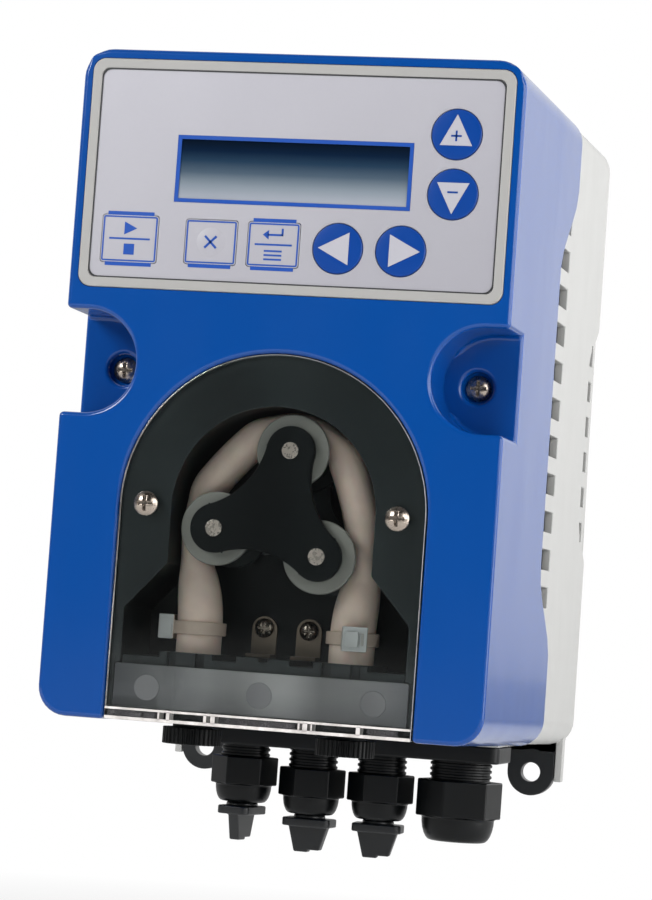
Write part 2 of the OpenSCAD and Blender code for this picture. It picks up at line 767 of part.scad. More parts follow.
// Three-armed plate with hollow sides; end_r is the radius of its arm ends
module arm_outline(end_r) {
    side_r = (end_r - arm_waist * sin(60)) / (sin(60) - 1);
    side_c = arm_waist + side_r;
    translate([0, head_z]) rotate(rotor_turn) {
        difference() {
            polygon([for (i = [0:2], s = [-1, 1]) let (a = 120 * i)
                [side_c * 0.5 * cos(a) - s * end_r * sin(a), side_c * 0.5 * sin(a) + s * end_r * cos(a)]]);
            for (i = [0:2]) rotate(60 + 120 * i) translate([side_c, 0]) circle(side_r);
        }
        for (i = [0:2]) rotate(120 * i) translate([pin_circle_r, 0]) circle(end_r);
    }
}

module rotor_front_plate() {
    color("#15181a") front_frame() slab(front_plate_y, plate_t) difference() {
        arm_outline(arm_r);
        for (i = [0:2]) translate(pin_at(i)) circle(pin_r);
    }
}

module rotor_rear_plate() {
    color("#1d2123") front_frame() slab(rear_plate_y, 2) difference() {
        arm_outline(arm_r + 1.6);
        for (i = [0:2]) translate(pin_at(i)) circle(pin_r);
        translate([0, head_z]) circle(shaft_r);
    }
}

module rotor_shaft() {
    color(steel) front_frame() {
        bar_y(0, head_z, hub_r, front_plate_y + plate_t, rear_plate_y - front_plate_y - plate_t);
        bar_y(0, head_z, shaft_r, rear_plate_y - eps, output_gear_y + gear_w - rear_plate_y);
    }
}

module roller_pins() {
    color(steel) front_frame() for (i = [0:2]) {
        bar_y(pin_at(i)[0], pin_at(i)[1], pin_r, front_plate_y - eps, rear_plate_y + 2 - front_plate_y);
        bar_y(pin_at(i)[0], pin_at(i)[1], pin_head_r, front_plate_y - 0.5, 0.5);
    }
}

// Spool-shaped roller: a barrel between two flanges
module roller(i) {
    color("#b4b7b8") front_frame() translate([pin_at(i)[0], 0, pin_at(i)[1]]) difference() {
        union() {
            bar_y(0, 0, barrel_r, roller_y, roller_l);
            for (y = [roller_y, roller_y + roller_l - flange_t]) bar_y(0, 0, roller_r, y, flange_t);
        }
        bar_y(0, 0, pin_r + run_gap, roller_y - cut, roller_l + 2 * cut);
    }
}

function inv(a) = tan(a) - a * PI / 180;

// Spur gear outline with short involute teeth
module gear_outline(teeth) {
    pa = 25;
    rp = gear_m * teeth / 2;
    rb = rp * cos(pa);
    ro = rp + 0.8 * gear_m;
    rr = rp - 1.1 * gear_m;
    play = 0.06 / rp;
    rad = [for (t = [0, 1 / 3, 2 / 3, 1]) max(rb, rr) + (ro - max(rb, rr)) * t];
    half = [for (r = rad) (PI / 2 / teeth + inv(pa) - inv(acos(min(1, rb / r))) - play) * 180 / PI];
    tooth = concat([[rr, -half[0]]], [for (k = [0:3]) [rad[k], -half[k]]],
        [for (k = [3:-1:0]) [rad[k], half[k]]], [[rr, half[0]]]);
    polygon([for (i = [0:teeth - 1], q = tooth)
        let (a = 360 * i / teeth + q[1]) [q[0] * cos(a), q[0] * sin(a)]]);
}

module output_gear() {
    color("#d8d2bc") front_frame() translate([0, 0, head_z]) slab(output_gear_y, gear_w) difference() {
        gear_outline(wheel_teeth);
        circle(shaft_r);
    }
}

module idler_gear() {
    color("#d8d2bc") front_frame() translate([0, 0, idler_z]) {
        slab(output_gear_y - 0.5, gear_w + 1.5) rotate(15) gear_outline(pinion_teeth);
        slab(idler_wheel_y - 1, 1 + eps) circle(pinion_r + 2);
        slab(idler_wheel_y, gear_w) gear_outline(wheel_teeth);
        bar_y(0, 0, idler_shaft_r, box_y + 0.4, box_end_y + box_cover_t - box_y - 0.8);
    }
}

module motor_pinion() {
    color("#b08d4a") front_frame() translate([0, 0, head_z]) {
        slab(idler_wheel_y - 0.5, gear_w + 1) rotate(15) gear_outline(pinion_teeth);
        bar_y(0, 0, motor_shaft_r, idler_wheel_y, motor_y + 8 - idler_wheel_y);
    }
}

module gearbox_outline(r) {
    translate([0, head_z]) circle(r);
    translate([0, idler_z]) circle(r);
    translate([-r, head_z]) square([2 * r, idler_z - head_z]);
}

module gearbox_housing() {
    color("#3a3d3e") front_frame() difference() {
        slab(box_y, box_end_y - box_y) gearbox_outline(box_r);
        difference() {
            slab(box_y + box_wall, box_end_y) gearbox_outline(box_r - box_wall);
            bar_y(0, head_z, bearing_r + 2, box_y, output_gear_y - 0.5 - box_y);
            bar_y(0, idler_z, 4.5, box_y, output_gear_y - 1 - box_y);
            for (s = [-1, 1], z = [head_z - 15, idler_z + 15])
                bar_y(s * (box_r - 2.2), z, 2.6, box_y, box_end_y - box_y);
        }
        bar_y(0, head_z, bearing_r, bearing_1_y, output_gear_y - bearing_1_y);
        bar_y(0, head_z, shaft_r + 0.6, box_y - cut, 3);
        bar_y(0, idler_z, idler_shaft_r + run_gap, box_y + 0.2, output_gear_y);
        for (s = [-1, 1], z = [head_z - 15, idler_z + 15]) bar_y(s * (box_r - 2.2), z, 1.3, box_end_y - 8, 9);
    }
}

module gearbox_cover() {
    color("#3a3d3e") front_frame() slab(box_end_y, box_cover_t) difference() {
        gearbox_outline(box_r);
        translate([0, head_z]) circle(motor_shaft_r + 1.5);
        translate([0, idler_z]) circle(idler_shaft_r + run_gap);
        for (s = [-1, 1], z = [head_z - 15, idler_z + 15]) translate([s * (box_r - 2.2), z]) circle(1.3);
    }
}

module shaft_bearings() {
    color(steel) front_frame() for (y = [bearing_1_y, bearing_2_y])
        translate([0, 0, head_z]) slab(y, bearing_w) difference() {
            circle(bearing_r);
            circle(shaft_r + run_gap);
        }
}

module drive_motor() {
    color("#9a9c9e") front_frame() translate([0, 0, head_z]) difference() {
        union() {
            slab(motor_y, motor_l) circle(motor_r);
            slab(motor_y + motor_l - eps, 4) circle(6);
        }
        bar_y(0, 0, motor_shaft_r + run_gap, motor_y - cut, 10);
    }
}

module power_board() {
    color("#1f6b3a") front_frame() {
        translate([0, 0, 38 + (power_board_h - 12) / 2]) slab(power_board_y, board_t)
            round_rect(power_board_w, power_board_h, 2);
        for (x = [-24, 24]) bar_y(x, 140, 7, power_board_y - 18, 18);
        translate([26, power_board_y - 6, 118]) cube([14, 6, 10]);
        translate([-38, power_board_y - 12, 118]) cube([10, 12, 16]);
    }
}

module transformer() {
    w = 36;
    color("#b5652b") front_frame() translate([0, 0, 119]) difference() {
        union() {
            translate([-w / 2, power_board_y - 30, -2]) cube([w, 30, 12]);
            translate([-w / 2 + 5, power_board_y - 34, 1]) cube([w - 10, 34, 6]);
        }
        translate([-w, power_board_y - 22, 10 - 3]) cube([2 * w, 3, 4]);
    }
}

module terminal_block() {
    color("#4f8f58") front_frame() difference() {
        translate([-terminal_w / 2, power_board_y - 12, 33]) cube([terminal_w, 12, 10]);
        for (i = [0:9]) translate([-terminal_w / 2 + 3.1 + 6.2 * i, power_board_y - 8, 37]) {
            translate([0, 0, 2]) cylinder(r = 2, h = 8);
            translate([-2, -2, -5]) cube([4, 4, 5]);
        }
    }
}

module gland_plate() {
    color(black) front_frame() difference() {
        translate([(plate_x0 + plate_x1) / 2, gland_y, plate_low_z]) linear_extrude(plate_h)
            round_rect(plate_x1 - plate_x0, plate_y1 - plate_y0, 3);
        for (i = [0:3]) translate([gland_x[i], gland_y, plate_low_z - cut])
            cylinder(r = gland_thread_r[i] + gap, h = plate_h + 2 * cut);
    }
}

module gland_body(i) {
    r = gland_thread_r[i];
    low = nut_top_z[i] - nut_hex_h[i] + 1;
    color(black) front_frame() translate([gland_x[i], gland_y, 0]) difference() {
        union() {
            translate([0, 0, low]) cylinder(r = r - 0.45, h = 12 - low);
            for (z = [low + 1:1.6:plate_low_z - 0.6]) translate([0, 0, z]) cylinder(r = r, h = 0.8);
            translate([0, 0, plate_low_z]) cylinder(r = r, h = 12 - plate_low_z);
            translate([0, 0, plate_top_z + 3]) cylinder(r = r + 2.2, h = 3, $fn = 6);
        }
        translate([0, 0, low - cut]) cylinder(r = gland_bore_r[i] + 0.6, h = 8 + cut);
        translate([0, 0, low]) cylinder(r = gland_bore_r[i], h = 40);
    }
}

// Domed hexagon nut; its corners may pass the neighbouring nuts
module gland_nut(i) {
    r = gland_nut_d[i] / 2;
    h = nut_hex_h[i];
    d = nut_dome_h[i];
    flat = r * cos(30);
    color(black) front_frame() translate([gland_x[i], gland_y, nut_top_z[i]])
    rotate([0, 0, gland_turn[i]]) difference() {
        union() {
            translate([0, 0, -h]) cylinder(r = r, h = h, $fn = 6);
            translate([0, 0, -h]) rotate_extrude() polygon(concat([[0, eps], [flat - 0.3, eps]],
                [for (a = [0:15:90]) [nut_hole_r[i] + 1 + (flat - 1.3 - nut_hole_r[i]) * cos(a), -d * sin(a)]],
                [[0, -d]]));
        }
        translate([0, 0, -h]) cylinder(r = gland_thread_r[i] + run_gap, h = h + cut);
        translate([0, 0, -h - d - cut]) cylinder(r = nut_hole_r[i], h = h + d);
    }
}

module gland_seals() {
    color("#0d0e0f") front_frame() for (i = [0:3])
        translate([gland_x[i], gland_y, nut_top_z[i] - nut_hex_h[i] - nut_dome_h[i] + 1.2]) difference() {
            cylinder(r = min(nut_hole_r[i], gland_bore_r[i] + 0.5) - 0.1, h = seal_len[i]);
            translate([0, 0, -cut]) cylinder(r = seal_r_in[i], h = seal_len[i] + 2 * cut);
        }
}

// Blanking plug: a flat tapered grip, an oblong flange and a round stem
module gland_plugs() {
    color("#24282a") front_frame() for (i = [0:2])
        translate([gland_x[i], gland_y, nut_top_z[i] - nut_hex_h[i] - nut_dome_h[i] - 0.2])
        rotate([0, 0, plug_turn[i]]) {
            cylinder(r = seal_r_in[i] - run_gap, h = 11);
            translate([0, 0, -1]) cylinder(r = 4.6, h = 1);
            translate([0, 0, -3.4]) linear_extrude(2.4) round_rect(14.5, 10, 2);
            rotate([90, 0, 0]) translate([0, 0, -1.6]) linear_extrude(3.2)
                polygon([[-5.9, -3.4], [5.9, -3.4], [3.9, -10.2], [0.4, -10.2], [0.4, -10.9], [-3.8, -10.9]]);
        }
}

front_cover();
rear_housing();
wall_bracket();
case_screws();
panel_frame();
keypad_facia();
display_window();
display_module();
control_board();
key_switches();
round_key(0);  // key_plus
round_key(1);  // key_minus
round_key(2);  // key_left
round_key(3);  // key_right
square_key(0);  // key_start_stop
square_key(1);  // key_escape
square_key(2);  // key_enter
pump_head_housing();
clear_cover();
clear_cover_screws();
strip_plate();
tube_holder();
pump_tube();
tube_tie(-1, 180);  // tube_tie_left
tube_tie(1, -75);  // tube_tie_right
tube_connector(-1);  // tube_connector_left
tube_connector(1);  // tube_connector_right
connector_nut(-1);  // connector_nut_left
connector_nut(1);  // connector_nut_right
leak_contacts();
inner_screws();
rotor_front_plate();
rotor_rear_plate();
rotor_shaft();
roller_pins();
roller(0);  // roller_1
roller(1);  // roller_2
roller(2);  // roller_3
shaft_bearings();
gearbox_housing();
gearbox_cover();
output_gear();
idler_gear();
motor_pinion();
drive_motor();
power_board();
transformer();
terminal_block();
gland_plate();
gland_body(0);  // gland_body_1
gland_body(1);  // gland_body_2
gland_body(2);  // gland_body_3
gland_body(3);  // gland_body_4
gland_nut(0);  // gland_nut_1
gland_nut(1);  // gland_nut_2
gland_nut(2);  // gland_nut_3
gland_nut(3);  // gland_nut_4
gland_seals();
gland_plugs();
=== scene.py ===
# Finishes and detailed pieces of a wall-mounted peristaltic dosing pump.
import json
import math
import bmesh
import bpy
from mathutils import Matrix, Vector

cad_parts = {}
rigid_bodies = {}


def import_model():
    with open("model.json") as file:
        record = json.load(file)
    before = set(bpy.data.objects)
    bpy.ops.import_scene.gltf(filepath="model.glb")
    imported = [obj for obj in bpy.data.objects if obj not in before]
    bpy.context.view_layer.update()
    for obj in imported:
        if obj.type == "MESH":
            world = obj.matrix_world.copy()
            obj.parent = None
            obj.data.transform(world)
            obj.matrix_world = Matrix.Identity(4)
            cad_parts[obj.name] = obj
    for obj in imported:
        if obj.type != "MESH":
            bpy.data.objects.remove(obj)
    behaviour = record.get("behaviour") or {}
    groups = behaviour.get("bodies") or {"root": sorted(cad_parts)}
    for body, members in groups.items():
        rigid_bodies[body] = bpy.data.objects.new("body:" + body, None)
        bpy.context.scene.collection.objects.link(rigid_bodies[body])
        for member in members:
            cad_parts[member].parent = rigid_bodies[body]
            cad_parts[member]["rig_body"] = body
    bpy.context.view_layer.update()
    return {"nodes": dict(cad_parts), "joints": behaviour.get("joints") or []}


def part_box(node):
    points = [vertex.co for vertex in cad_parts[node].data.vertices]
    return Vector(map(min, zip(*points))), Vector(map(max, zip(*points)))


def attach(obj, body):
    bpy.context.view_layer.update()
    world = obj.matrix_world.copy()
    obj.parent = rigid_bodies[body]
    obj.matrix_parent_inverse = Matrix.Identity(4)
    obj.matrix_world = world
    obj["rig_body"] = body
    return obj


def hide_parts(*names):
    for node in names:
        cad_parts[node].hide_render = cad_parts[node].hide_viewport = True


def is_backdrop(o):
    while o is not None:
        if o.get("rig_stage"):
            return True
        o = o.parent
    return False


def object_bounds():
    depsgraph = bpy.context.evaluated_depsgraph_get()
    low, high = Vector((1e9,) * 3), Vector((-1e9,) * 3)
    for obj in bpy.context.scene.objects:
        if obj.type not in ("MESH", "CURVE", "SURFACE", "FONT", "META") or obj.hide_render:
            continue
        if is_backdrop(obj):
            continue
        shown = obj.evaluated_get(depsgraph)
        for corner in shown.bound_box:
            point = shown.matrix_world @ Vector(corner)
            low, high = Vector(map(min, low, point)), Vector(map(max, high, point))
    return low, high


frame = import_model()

mm = 0.001
print("frame loaded:", len(frame["nodes"]), "nodes")

# Places that everything else is measured from
joints = {j["name"]: j for j in frame["joints"]}
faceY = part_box("keypad_facia")[0].y  # the cover's front face
headAxis = Vector(joints["rotor_spin"]["pos_m"])
headMiddle = Vector((0, 0, headAxis.z))
pins = [Vector(joints["roller_%d_spin" % n]["pos_m"]) for n in (1, 2, 3)]
tubeMiddleY = headAxis.y


# Node wiring
class Wire:
    def __init__(self, finish, socket):
        self.finish = finish
        self.socket = socket

    def work(self, operation, other=None, swap=False):
        pair = {0: other, 1: self} if swap else {0: self, 1: other}
        if other is None:
            pair = {0: self}
        return self.finish.add("ShaderNodeMath", {"operation": operation}, pair)

    def __add__(self, other):
        return self.work("ADD", other)

    __radd__ = __add__

    def __sub__(self, other):
        return self.work("SUBTRACT", other)

    def __rsub__(self, other):
        return self.work("SUBTRACT", other, True)

    def __mul__(self, other):
        return self.work("MULTIPLY", other)

    __rmul__ = __mul__

    def __truediv__(self, other):
        return self.work("DIVIDE", other)

    def __pow__(self, other):
        return self.work("POWER", other)

    def above(self, other):
        return self.work("GREATER_THAN", other)

    def below(self, other):
        return self.work("LESS_THAN", other)


def colour(code):
    parts = [int(code[i:i + 2], 16) / 255 for i in (1, 3, 5)]
    return tuple(p / 12.92 if p <= 0.04045 else ((p + 0.055) / 1.055) ** 2.4 for p in parts) + (1,)


def shade(rgba, amount):
    return tuple(min(1, c * amount) for c in rgba[:3]) + (1,)


class Finish:
    # A material whose nodes are added one by one
    def __init__(self, name, tree=None):
        if tree is None:
            self.material = bpy.data.materials.new(name)
            self.material.use_nodes = True
            tree = self.material.node_tree
        self.tree = tree
        self.tree.nodes.clear()
        self.places = {}

    def add(self, kind, settings=None, sockets=None, out=0):
        node = self.tree.nodes.new(kind)
        for key, value in (settings or {}).items():
            if key == "stops":
                ramp = node.color_ramp
                while len(ramp.elements) < len(value):
                    ramp.elements.new(0.5)
                for element, (place, tint) in zip(ramp.elements, value):
                    element.position = place
                    element.color = tint
            else:
                setattr(node, key, value)
        for key, value in (sockets or {}).items():
            target = node.inputs[key]
            if isinstance(value, Wire):
                self.tree.links.new(value.socket, target)
            elif value is not None:
                target.default_value = value
        return Wire(self, node.outputs[out]) if len(node.outputs) else None

    def place(self):
        if "object" not in self.places:
            self.places["object"] = self.add("ShaderNodeTexCoord", out="Object")
        return self.places["object"]

    def axis(self, name):
        return self.add("ShaderNodeSeparateXYZ", None, {0: self.place()}, "XYZ".index(name))

    def span(self, value, low, high, outLow=0.0, outHigh=1.0):
        return self.add("ShaderNodeMapRange", {"clamp": True},
                        {"Value": value, "From Min": low, "From Max": high, "To Min": outLow, "To Max": outHigh})

    def noise(self, scale, detail=2.0, roughness=0.5, stretch=None):
        vector = self.place()
        if stretch:
            vector = self.add("ShaderNodeMapping", None, {"Vector": vector, "Scale": stretch})
        return self.add("ShaderNodeTexNoise", None,
                        {"Vector": vector, "Scale": scale, "Detail": detail, "Roughness": roughness})

    def blend(self, amount, first, second):
        return self.add("ShaderNodeMix", {"data_type": "RGBA"}, {0: amount, 6: first, 7: second}, 2)

    def bump(self, height, strength, distance):
        return self.add("ShaderNodeBump", None, {"Strength": strength, "Distance": distance, "Height": height})

    def principled(self, **sockets):
        names = {key[0].upper() + key[1:]: value for key, value in sockets.items()}
        renamed = {"Base": "Base Color", "Specular": "Specular IOR Level", "Coat": "Coat Weight",
                   "CoatRough": "Coat Roughness", "Subsurface": "Subsurface Weight",
                   "SubsurfaceScale": "Subsurface Scale", "Sheen": "Sheen Weight"}
        return self.add("ShaderNodeBsdfPrincipled", None, {renamed.get(k, k): v for k, v in names.items()})

    def surface(self, shader):
        self.add("ShaderNodeOutputMaterial", None, {"Surface": shader})
        return self.material


# Finishes
def mouldedPlastic(name, tint, rough=0.35, grain=900, grainDepth=0.02, mottle=0.05, specular=0.5, coat=0.0,
                   patches=60):
    # Moulded plastic: slow colour drift, fine skin grain and faint wiped patches in the gloss
    f = Finish(name)
    drift = f.noise(patches * 0.5, 3, 0.55)
    skin = f.noise(grain, 3, 0.6)
    wiped = f.noise(patches, 4, 0.6, (1, 1, 0.45))
    base = f.blend(drift, shade(tint, 1 - mottle), shade(tint, 1 + mottle))
    base = f.blend(skin * 0.12, base, shade(tint, 0.8))
    normal = f.bump(skin, 0.35, grainDepth * mm)
    return f.surface(f.principled(base=base, roughness=f.span(wiped, 0.3, 0.7, rough - 0.035, rough + 0.05),
                                  normal=normal, specular=specular, coat=coat, coatRough=0.08))


def plainMetal(name, tint, rough=0.28, brush=(1, 1, 30), scale=160, metallic=1.0):
    f = Finish(name)
    lines = f.noise(scale, 4, 0.65, brush)
    stains = f.noise(140, 3, 0.5)
    base = f.blend(stains, shade(tint, 0.86), shade(tint, 1.08))
    return f.surface(f.principled(base=base, metallic=metallic,
                                  roughness=f.span(lines, 0.3, 0.7, rough - 0.07, rough + 0.12),
                                  normal=f.bump(lines, 0.25, 0.02 * mm)))


def tubeRubber():
    # Extruded elastomer: cloudy, satin, with fine lines along its length
    f = Finish("tubeRubber")
    tint = colour(tubeLook["colour"])
    cloud = f.noise(120, 4, 0.6)
    lines = f.noise(500, 2, 0.5, (1, 1, 0.15))
    base = f.blend(f.span(cloud, 0.3, 0.7), shade(tint, 0.9), shade(tint, 1.08))
    base = f.blend(lines * 0.18, base, shade(tint, 0.72))
    return f.surface(f.principled(base=base, roughness=f.span(cloud, 0.3, 0.7, 0.42, 0.55), subsurface=0.18,
                                  subsurfaceScale=1.5 * mm, specular=0.4, normal=f.bump(lines, 0.2, 0.03 * mm)))


def clearPlastic(name):
    # Clear sheet: lets light straight through and adds a gloss that grows at grazing angles
    f = Finish(name)
    scuffs = f.noise(300, 4, 0.6)
    gloss = f.add("ShaderNodeBsdfGlossy", None, {"Color": (0.9, 0.92, 0.92, 1),
                  "Roughness": f.span(scuffs, 0.3, 0.75, 0.02, 0.09)})
    through = f.add("ShaderNodeBsdfTransparent", None, {"Color": (0.97, 0.985, 0.98, 1)})
    edge = f.add("ShaderNodeFresnel", None, {"IOR": 1.49})
    smear = f.span(f.noise(45, 3, 0.5, (1, 1, 0.5)), 0.35, 0.75, 0.7, 1.1)
    return f.surface(f.add("ShaderNodeMixShader", None, {0: edge * smear, 1: through, 2: gloss}))


def clearEdge(name, dim, pale, least, most):
    # Cut edges, ribs and blocks of the clear sheet, in a partly opaque colour; on the edges and ribs that pale colour
    # is a painted highlight
    f = Finish(name)
    cloud = f.noise(260, 3, 0.6)
    bright = f.principled(base=f.blend(cloud, colour(dim), colour(pale)), specular=0.6,
                          roughness=f.span(cloud, 0.3, 0.7, 0.12, 0.3))
    through = f.add("ShaderNodeBsdfTransparent", None, {"Color": (0.9, 0.92, 0.92, 1)})
    return f.surface(f.add("ShaderNodeMixShader", None, {0: f.span(cloud, 0.25, 0.75, least, most), 1: through,
                                                         2: bright}))


def faciaFilm():
    # Printed film, with painted shade: a little darker towards the lower right
    f = Finish("faciaFilm")
    low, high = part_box("keypad_facia")
    across = f.span(f.axis("X"), low.x, high.x, 0, 0.5)
    down = f.span(f.axis("Z"), low.z, high.z, 0.5, 0)
    skin = f.noise(1500, 3, 0.6)
    # painted shade: the film's tone falls off to the right and downwards
    base = f.blend(across + down, colour(panelLook["facia"]), colour(panelLook["faciaShaded"]))
    base = f.blend(skin * 0.1, base, colour("#8d8c93"))
    return f.surface(f.principled(base=base, roughness=f.span(f.noise(50, 3), 0.3, 0.7, 0.3, 0.4), specular=0.4,
                                  normal=f.bump(skin, 0.3, 0.01 * mm)))


def displayGlass():
    # Switched-off display behind its glass: dark at the top, paler downwards, with a faint cloud stretched sideways
    f = Finish("displayGlass")
    low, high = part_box("display_window")
    # Painted light and shade: the ramp runs from pale at the bottom of the display to dark at its top
    height = f.span(f.axis("Z"), low.z + 1.4 * mm, high.z - 1.4 * mm)
    shadeRamp = f.add("ShaderNodeValToRGB", {"stops": [(0.0, colour("#989da6")), (0.22, colour("#7c868f")),
                 (0.45, colour("#475664")), (0.66, colour("#1f3448")), (0.84, colour("#05172e")),
                 (1.0, colour("#010a1a"))]}, {0: height})
    cloud = f.noise(60, 3, 0.5, (0.35, 1, 1))
    base = f.blend(cloud * 0.12, shadeRamp, colour("#2c4054"))
    return f.surface(f.principled(base=base, roughness=f.span(cloud, 0.3, 0.7, 0.12, 0.2), specular=0.2))


def stripGrey():
    # Moulded cover strip, with painted shade: darker towards its ends and its lower edge
    f = Finish("stripGrey")
    low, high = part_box("strip_plate")
    # painted shade towards both ends, brightest in the middle
    along = f.span(f.axis("X"), low.x, high.x)
    shadeRamp = f.add("ShaderNodeValToRGB", {"stops": [(0.0, colour("#5b5d62")), (0.12, colour("#7f8082")),
                 (0.5, colour("#b8b8b8")), (0.8, colour("#a6a6a7")), (1.0, colour("#75767a"))]}, {0: along})
    # painted shade along the lower edge
    down = f.span(f.axis("Z"), low.z, low.z + 7 * mm, 0.5, 0)
    cloud = f.noise(90, 4, 0.6)
    base = f.blend(down, shadeRamp, colour("#55565a"))
    base = f.blend(cloud * 0.14, base, colour("#6c6d70"))
    return f.surface(f.principled(base=base, roughness=f.span(cloud, 0.3, 0.7, 0.38, 0.5),
                                  normal=f.bump(f.noise(700, 2), 0.2, 0.02 * mm)))


def circuitBoard(name, tint):
    f = Finish(name)
    tracks = f.add("ShaderNodeTexBrick", {"offset": 0.5}, {"Vector": f.place(), "Scale": 160,
                   "Color1": tint, "Color2": shade(tint, 0.8), "Mortar": shade(tint, 1.7), "Mortar Size": 0.03})
    return f.surface(f.principled(base=tracks, roughness=f.span(f.noise(80), 0.3, 0.7, 0.3, 0.42), coat=0.3))


caseLook = {"colour": "#00418b", "roughness": 0.22, "whiteColour": "#a9a9a7", "whiteRoughness": 0.42}
# The chamber tone and the rollers' rear tone are painted shade
headLook = {"ring": "#262e30", "chamber": "#0b1315", "rotor": "#0b1214", "roller": "#92928c", "rollerBackShade": "#1c2324"}
tubeLook = {"colour": "#f6e0d2"}
glandLook = {"colour": "#040607", "roughness": 0.34}
# The facia's second tone is painted shade for its lower right
panelLook = {"facia": "#aeadb4", "faciaShaded": "#9b9aa1", "frame": "#9d9c9a", "print": "#0a459c", "key": "#033a87"}

finishes = {
    "caseBlue": mouldedPlastic("caseBlue", colour(caseLook["colour"]), caseLook["roughness"], 700, 0.005, 0.05,
                               0.3, 0.3, 30),
    "caseWhite": mouldedPlastic("caseWhite", colour(caseLook["whiteColour"]), caseLook["whiteRoughness"], 1100,
                                0.03, 0.02),
    "headRing": mouldedPlastic("headRing", colour(headLook["ring"]), 0.36, 800, 0.02, 0.06, 0.4),
    # black for the connectors and key switches, painted shade in the chamber
    "headBlack": mouldedPlastic("headBlack", colour(headLook["chamber"]), 0.45, 800, 0.02, 0.08, 0.25),
    "rotorBlack": mouldedPlastic("rotorBlack", colour(headLook["rotor"]), 0.5, 900, 0.015, 0.08, 0.2),
    # the rollers' rear finish is painted shade
    "rollerBackShade": mouldedPlastic("rollerBackShade", colour(headLook["rollerBackShade"]), 0.5, 500, 0.02, 0.06, 0.3),
    "rollerGrey": mouldedPlastic("rollerGrey", colour(headLook["roller"]), 0.38, 500, 0.02, 0.04),
    "glandBlack": mouldedPlastic("glandBlack", colour(glandLook["colour"]), glandLook["roughness"], 900, 0.02, 0.1,
                                 0.22),
    "plugBlack": mouldedPlastic("plugBlack", colour("#101315"), 0.38, 700, 0.03, 0.1),
    "sealBlack": mouldedPlastic("sealBlack", colour("#0a0b0c"), 0.6, 500, 0.04, 0.1, 0.3),
    "bracketBlack": mouldedPlastic("bracketBlack", colour("#0d1013"), 0.34, 900, 0.03, 0.1),
    "faciaFilm": faciaFilm(),
    "frameGrey": mouldedPlastic("frameGrey", colour(panelLook["frame"]), 0.4, 900, 0.02, 0.03),
    "lineBlack": mouldedPlastic("lineBlack", colour("#222426"), 0.5, 900, 0.02, 0.06),
    "printBlue": mouldedPlastic("printBlue", colour(panelLook["print"]), 0.35, 1500, 0.008, 0.04),
    "keyBlue": mouldedPlastic("keyBlue", colour(panelLook["key"]), 0.3, 1200, 0.008, 0.05, 0.25, 0.05),
    "markPale": mouldedPlastic("markPale", colour("#abaab2"), 0.33, 1500, 0.008, 0.02),
    "tieNylon": mouldedPlastic("tieNylon", colour("#d3d6d6"), 0.34, 900, 0.03, 0.05),
    "tieBand": mouldedPlastic("tieBand", colour("#d2bfb0"), 0.36, 900, 0.03, 0.05),
    "tieShade": mouldedPlastic("tieShade", colour("#a9a8a4"), 0.4, 900, 0.03, 0.05),
    "stripDisc": mouldedPlastic("stripDisc", colour("#8f9092"), 0.42, 700, 0.02, 0.05),
    "gearAcetal": mouldedPlastic("gearAcetal", colour("#d8d2bc"), 0.36, 700, 0.02, 0.04),
    "motorZinc": plainMetal("motorZinc", colour("#9a9d9f"), 0.35),
    "screwSteel": plainMetal("screwSteel", colour("#a79c91"), 0.24, (1, 1, 1), 700),
    "pinSteel": plainMetal("pinSteel", colour("#d6cbc1"), 0.26, (1, 1, 1), 900, 0.65),
    "contactMetal": plainMetal("contactMetal", colour("#8b7f72"), 0.36, (1, 1, 6), 300),
    "brass": plainMetal("brass", colour("#b08d4a"), 0.3),
    "copper": mouldedPlastic("copper", colour("#8a4a22"), 0.4, 600, 0.05, 0.1),
    "terminalGreen": mouldedPlastic("terminalGreen", colour("#3f8a50"), 0.4),
    "boardGreen": circuitBoard("boardGreen", colour("#1c6a3a")),
    "tubeRubber": tubeRubber(),
    "paneClear": clearPlastic("paneClear"),
    # the pane edge finish is a painted highlight
    "paneEdgeHighlight": clearEdge("paneEdgeHighlight", "#cfc8c4", "#f6f2ef", 0.7, 1),
    "lipHaze": clearEdge("lipHaze", "#6a6468", "#8d888c", 0.3, 0.75),
    "displayGlass": displayGlass(),
    "stripGrey": stripGrey(),
}
print("finishes made:", len(finishes))


# Mesh tools
def nodeForm(name):
    # A merged copy of a CAD node, its flat faces joined up again
    form = bmesh.new()
    form.from_mesh(frame["nodes"][name].data)
    bmesh.ops.remove_doubles(form, verts=form.verts, dist=3e-6)
    bmesh.ops.dissolve_limit(form, angle_limit=math.radians(0.6), verts=form.verts, edges=form.edges)
    return form


def sharpEdges(form, degrees=35):
    limit = math.radians(degrees)
    return [e for e in form.edges if len(e.link_faces) == 2 and e.calc_face_angle(0) > limit]


def easeEdges(form, width, segments=2, degrees=35, keep=None):
    edges = [e for e in sharpEdges(form, degrees) if keep is None or keep(e)]
    if edges:
        bmesh.ops.bevel(form, geom=edges, offset=width, offset_type="OFFSET", affect="EDGES", segments=segments,
                        profile=0.5, clamp_overlap=False, material=-1)


def makePiece(form, name, look, body="case", nodes=(), smoothDegrees=38, weighted=True):
    mesh = bpy.data.meshes.new(name)
    for face in form.faces:
        face.smooth = True
    limit = math.radians(smoothDegrees)
    for edge in form.edges:
        edge.smooth = len(edge.link_faces) == 2 and edge.calc_face_angle(0) < limit
    form.to_mesh(mesh)
    form.free()
    piece = bpy.data.objects.new(name, mesh)
    bpy.context.scene.collection.objects.link(piece)
    for item in ([look] if isinstance(look, str) else look):
        mesh.materials.append(finishes[item])
    if weighted:
        even = piece.modifiers.new("evenNormals", "WEIGHTED_NORMAL")
        even.keep_sharp = True
        even.weight = 60
    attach(piece, body)
    if nodes:
        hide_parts(*nodes)
    return piece


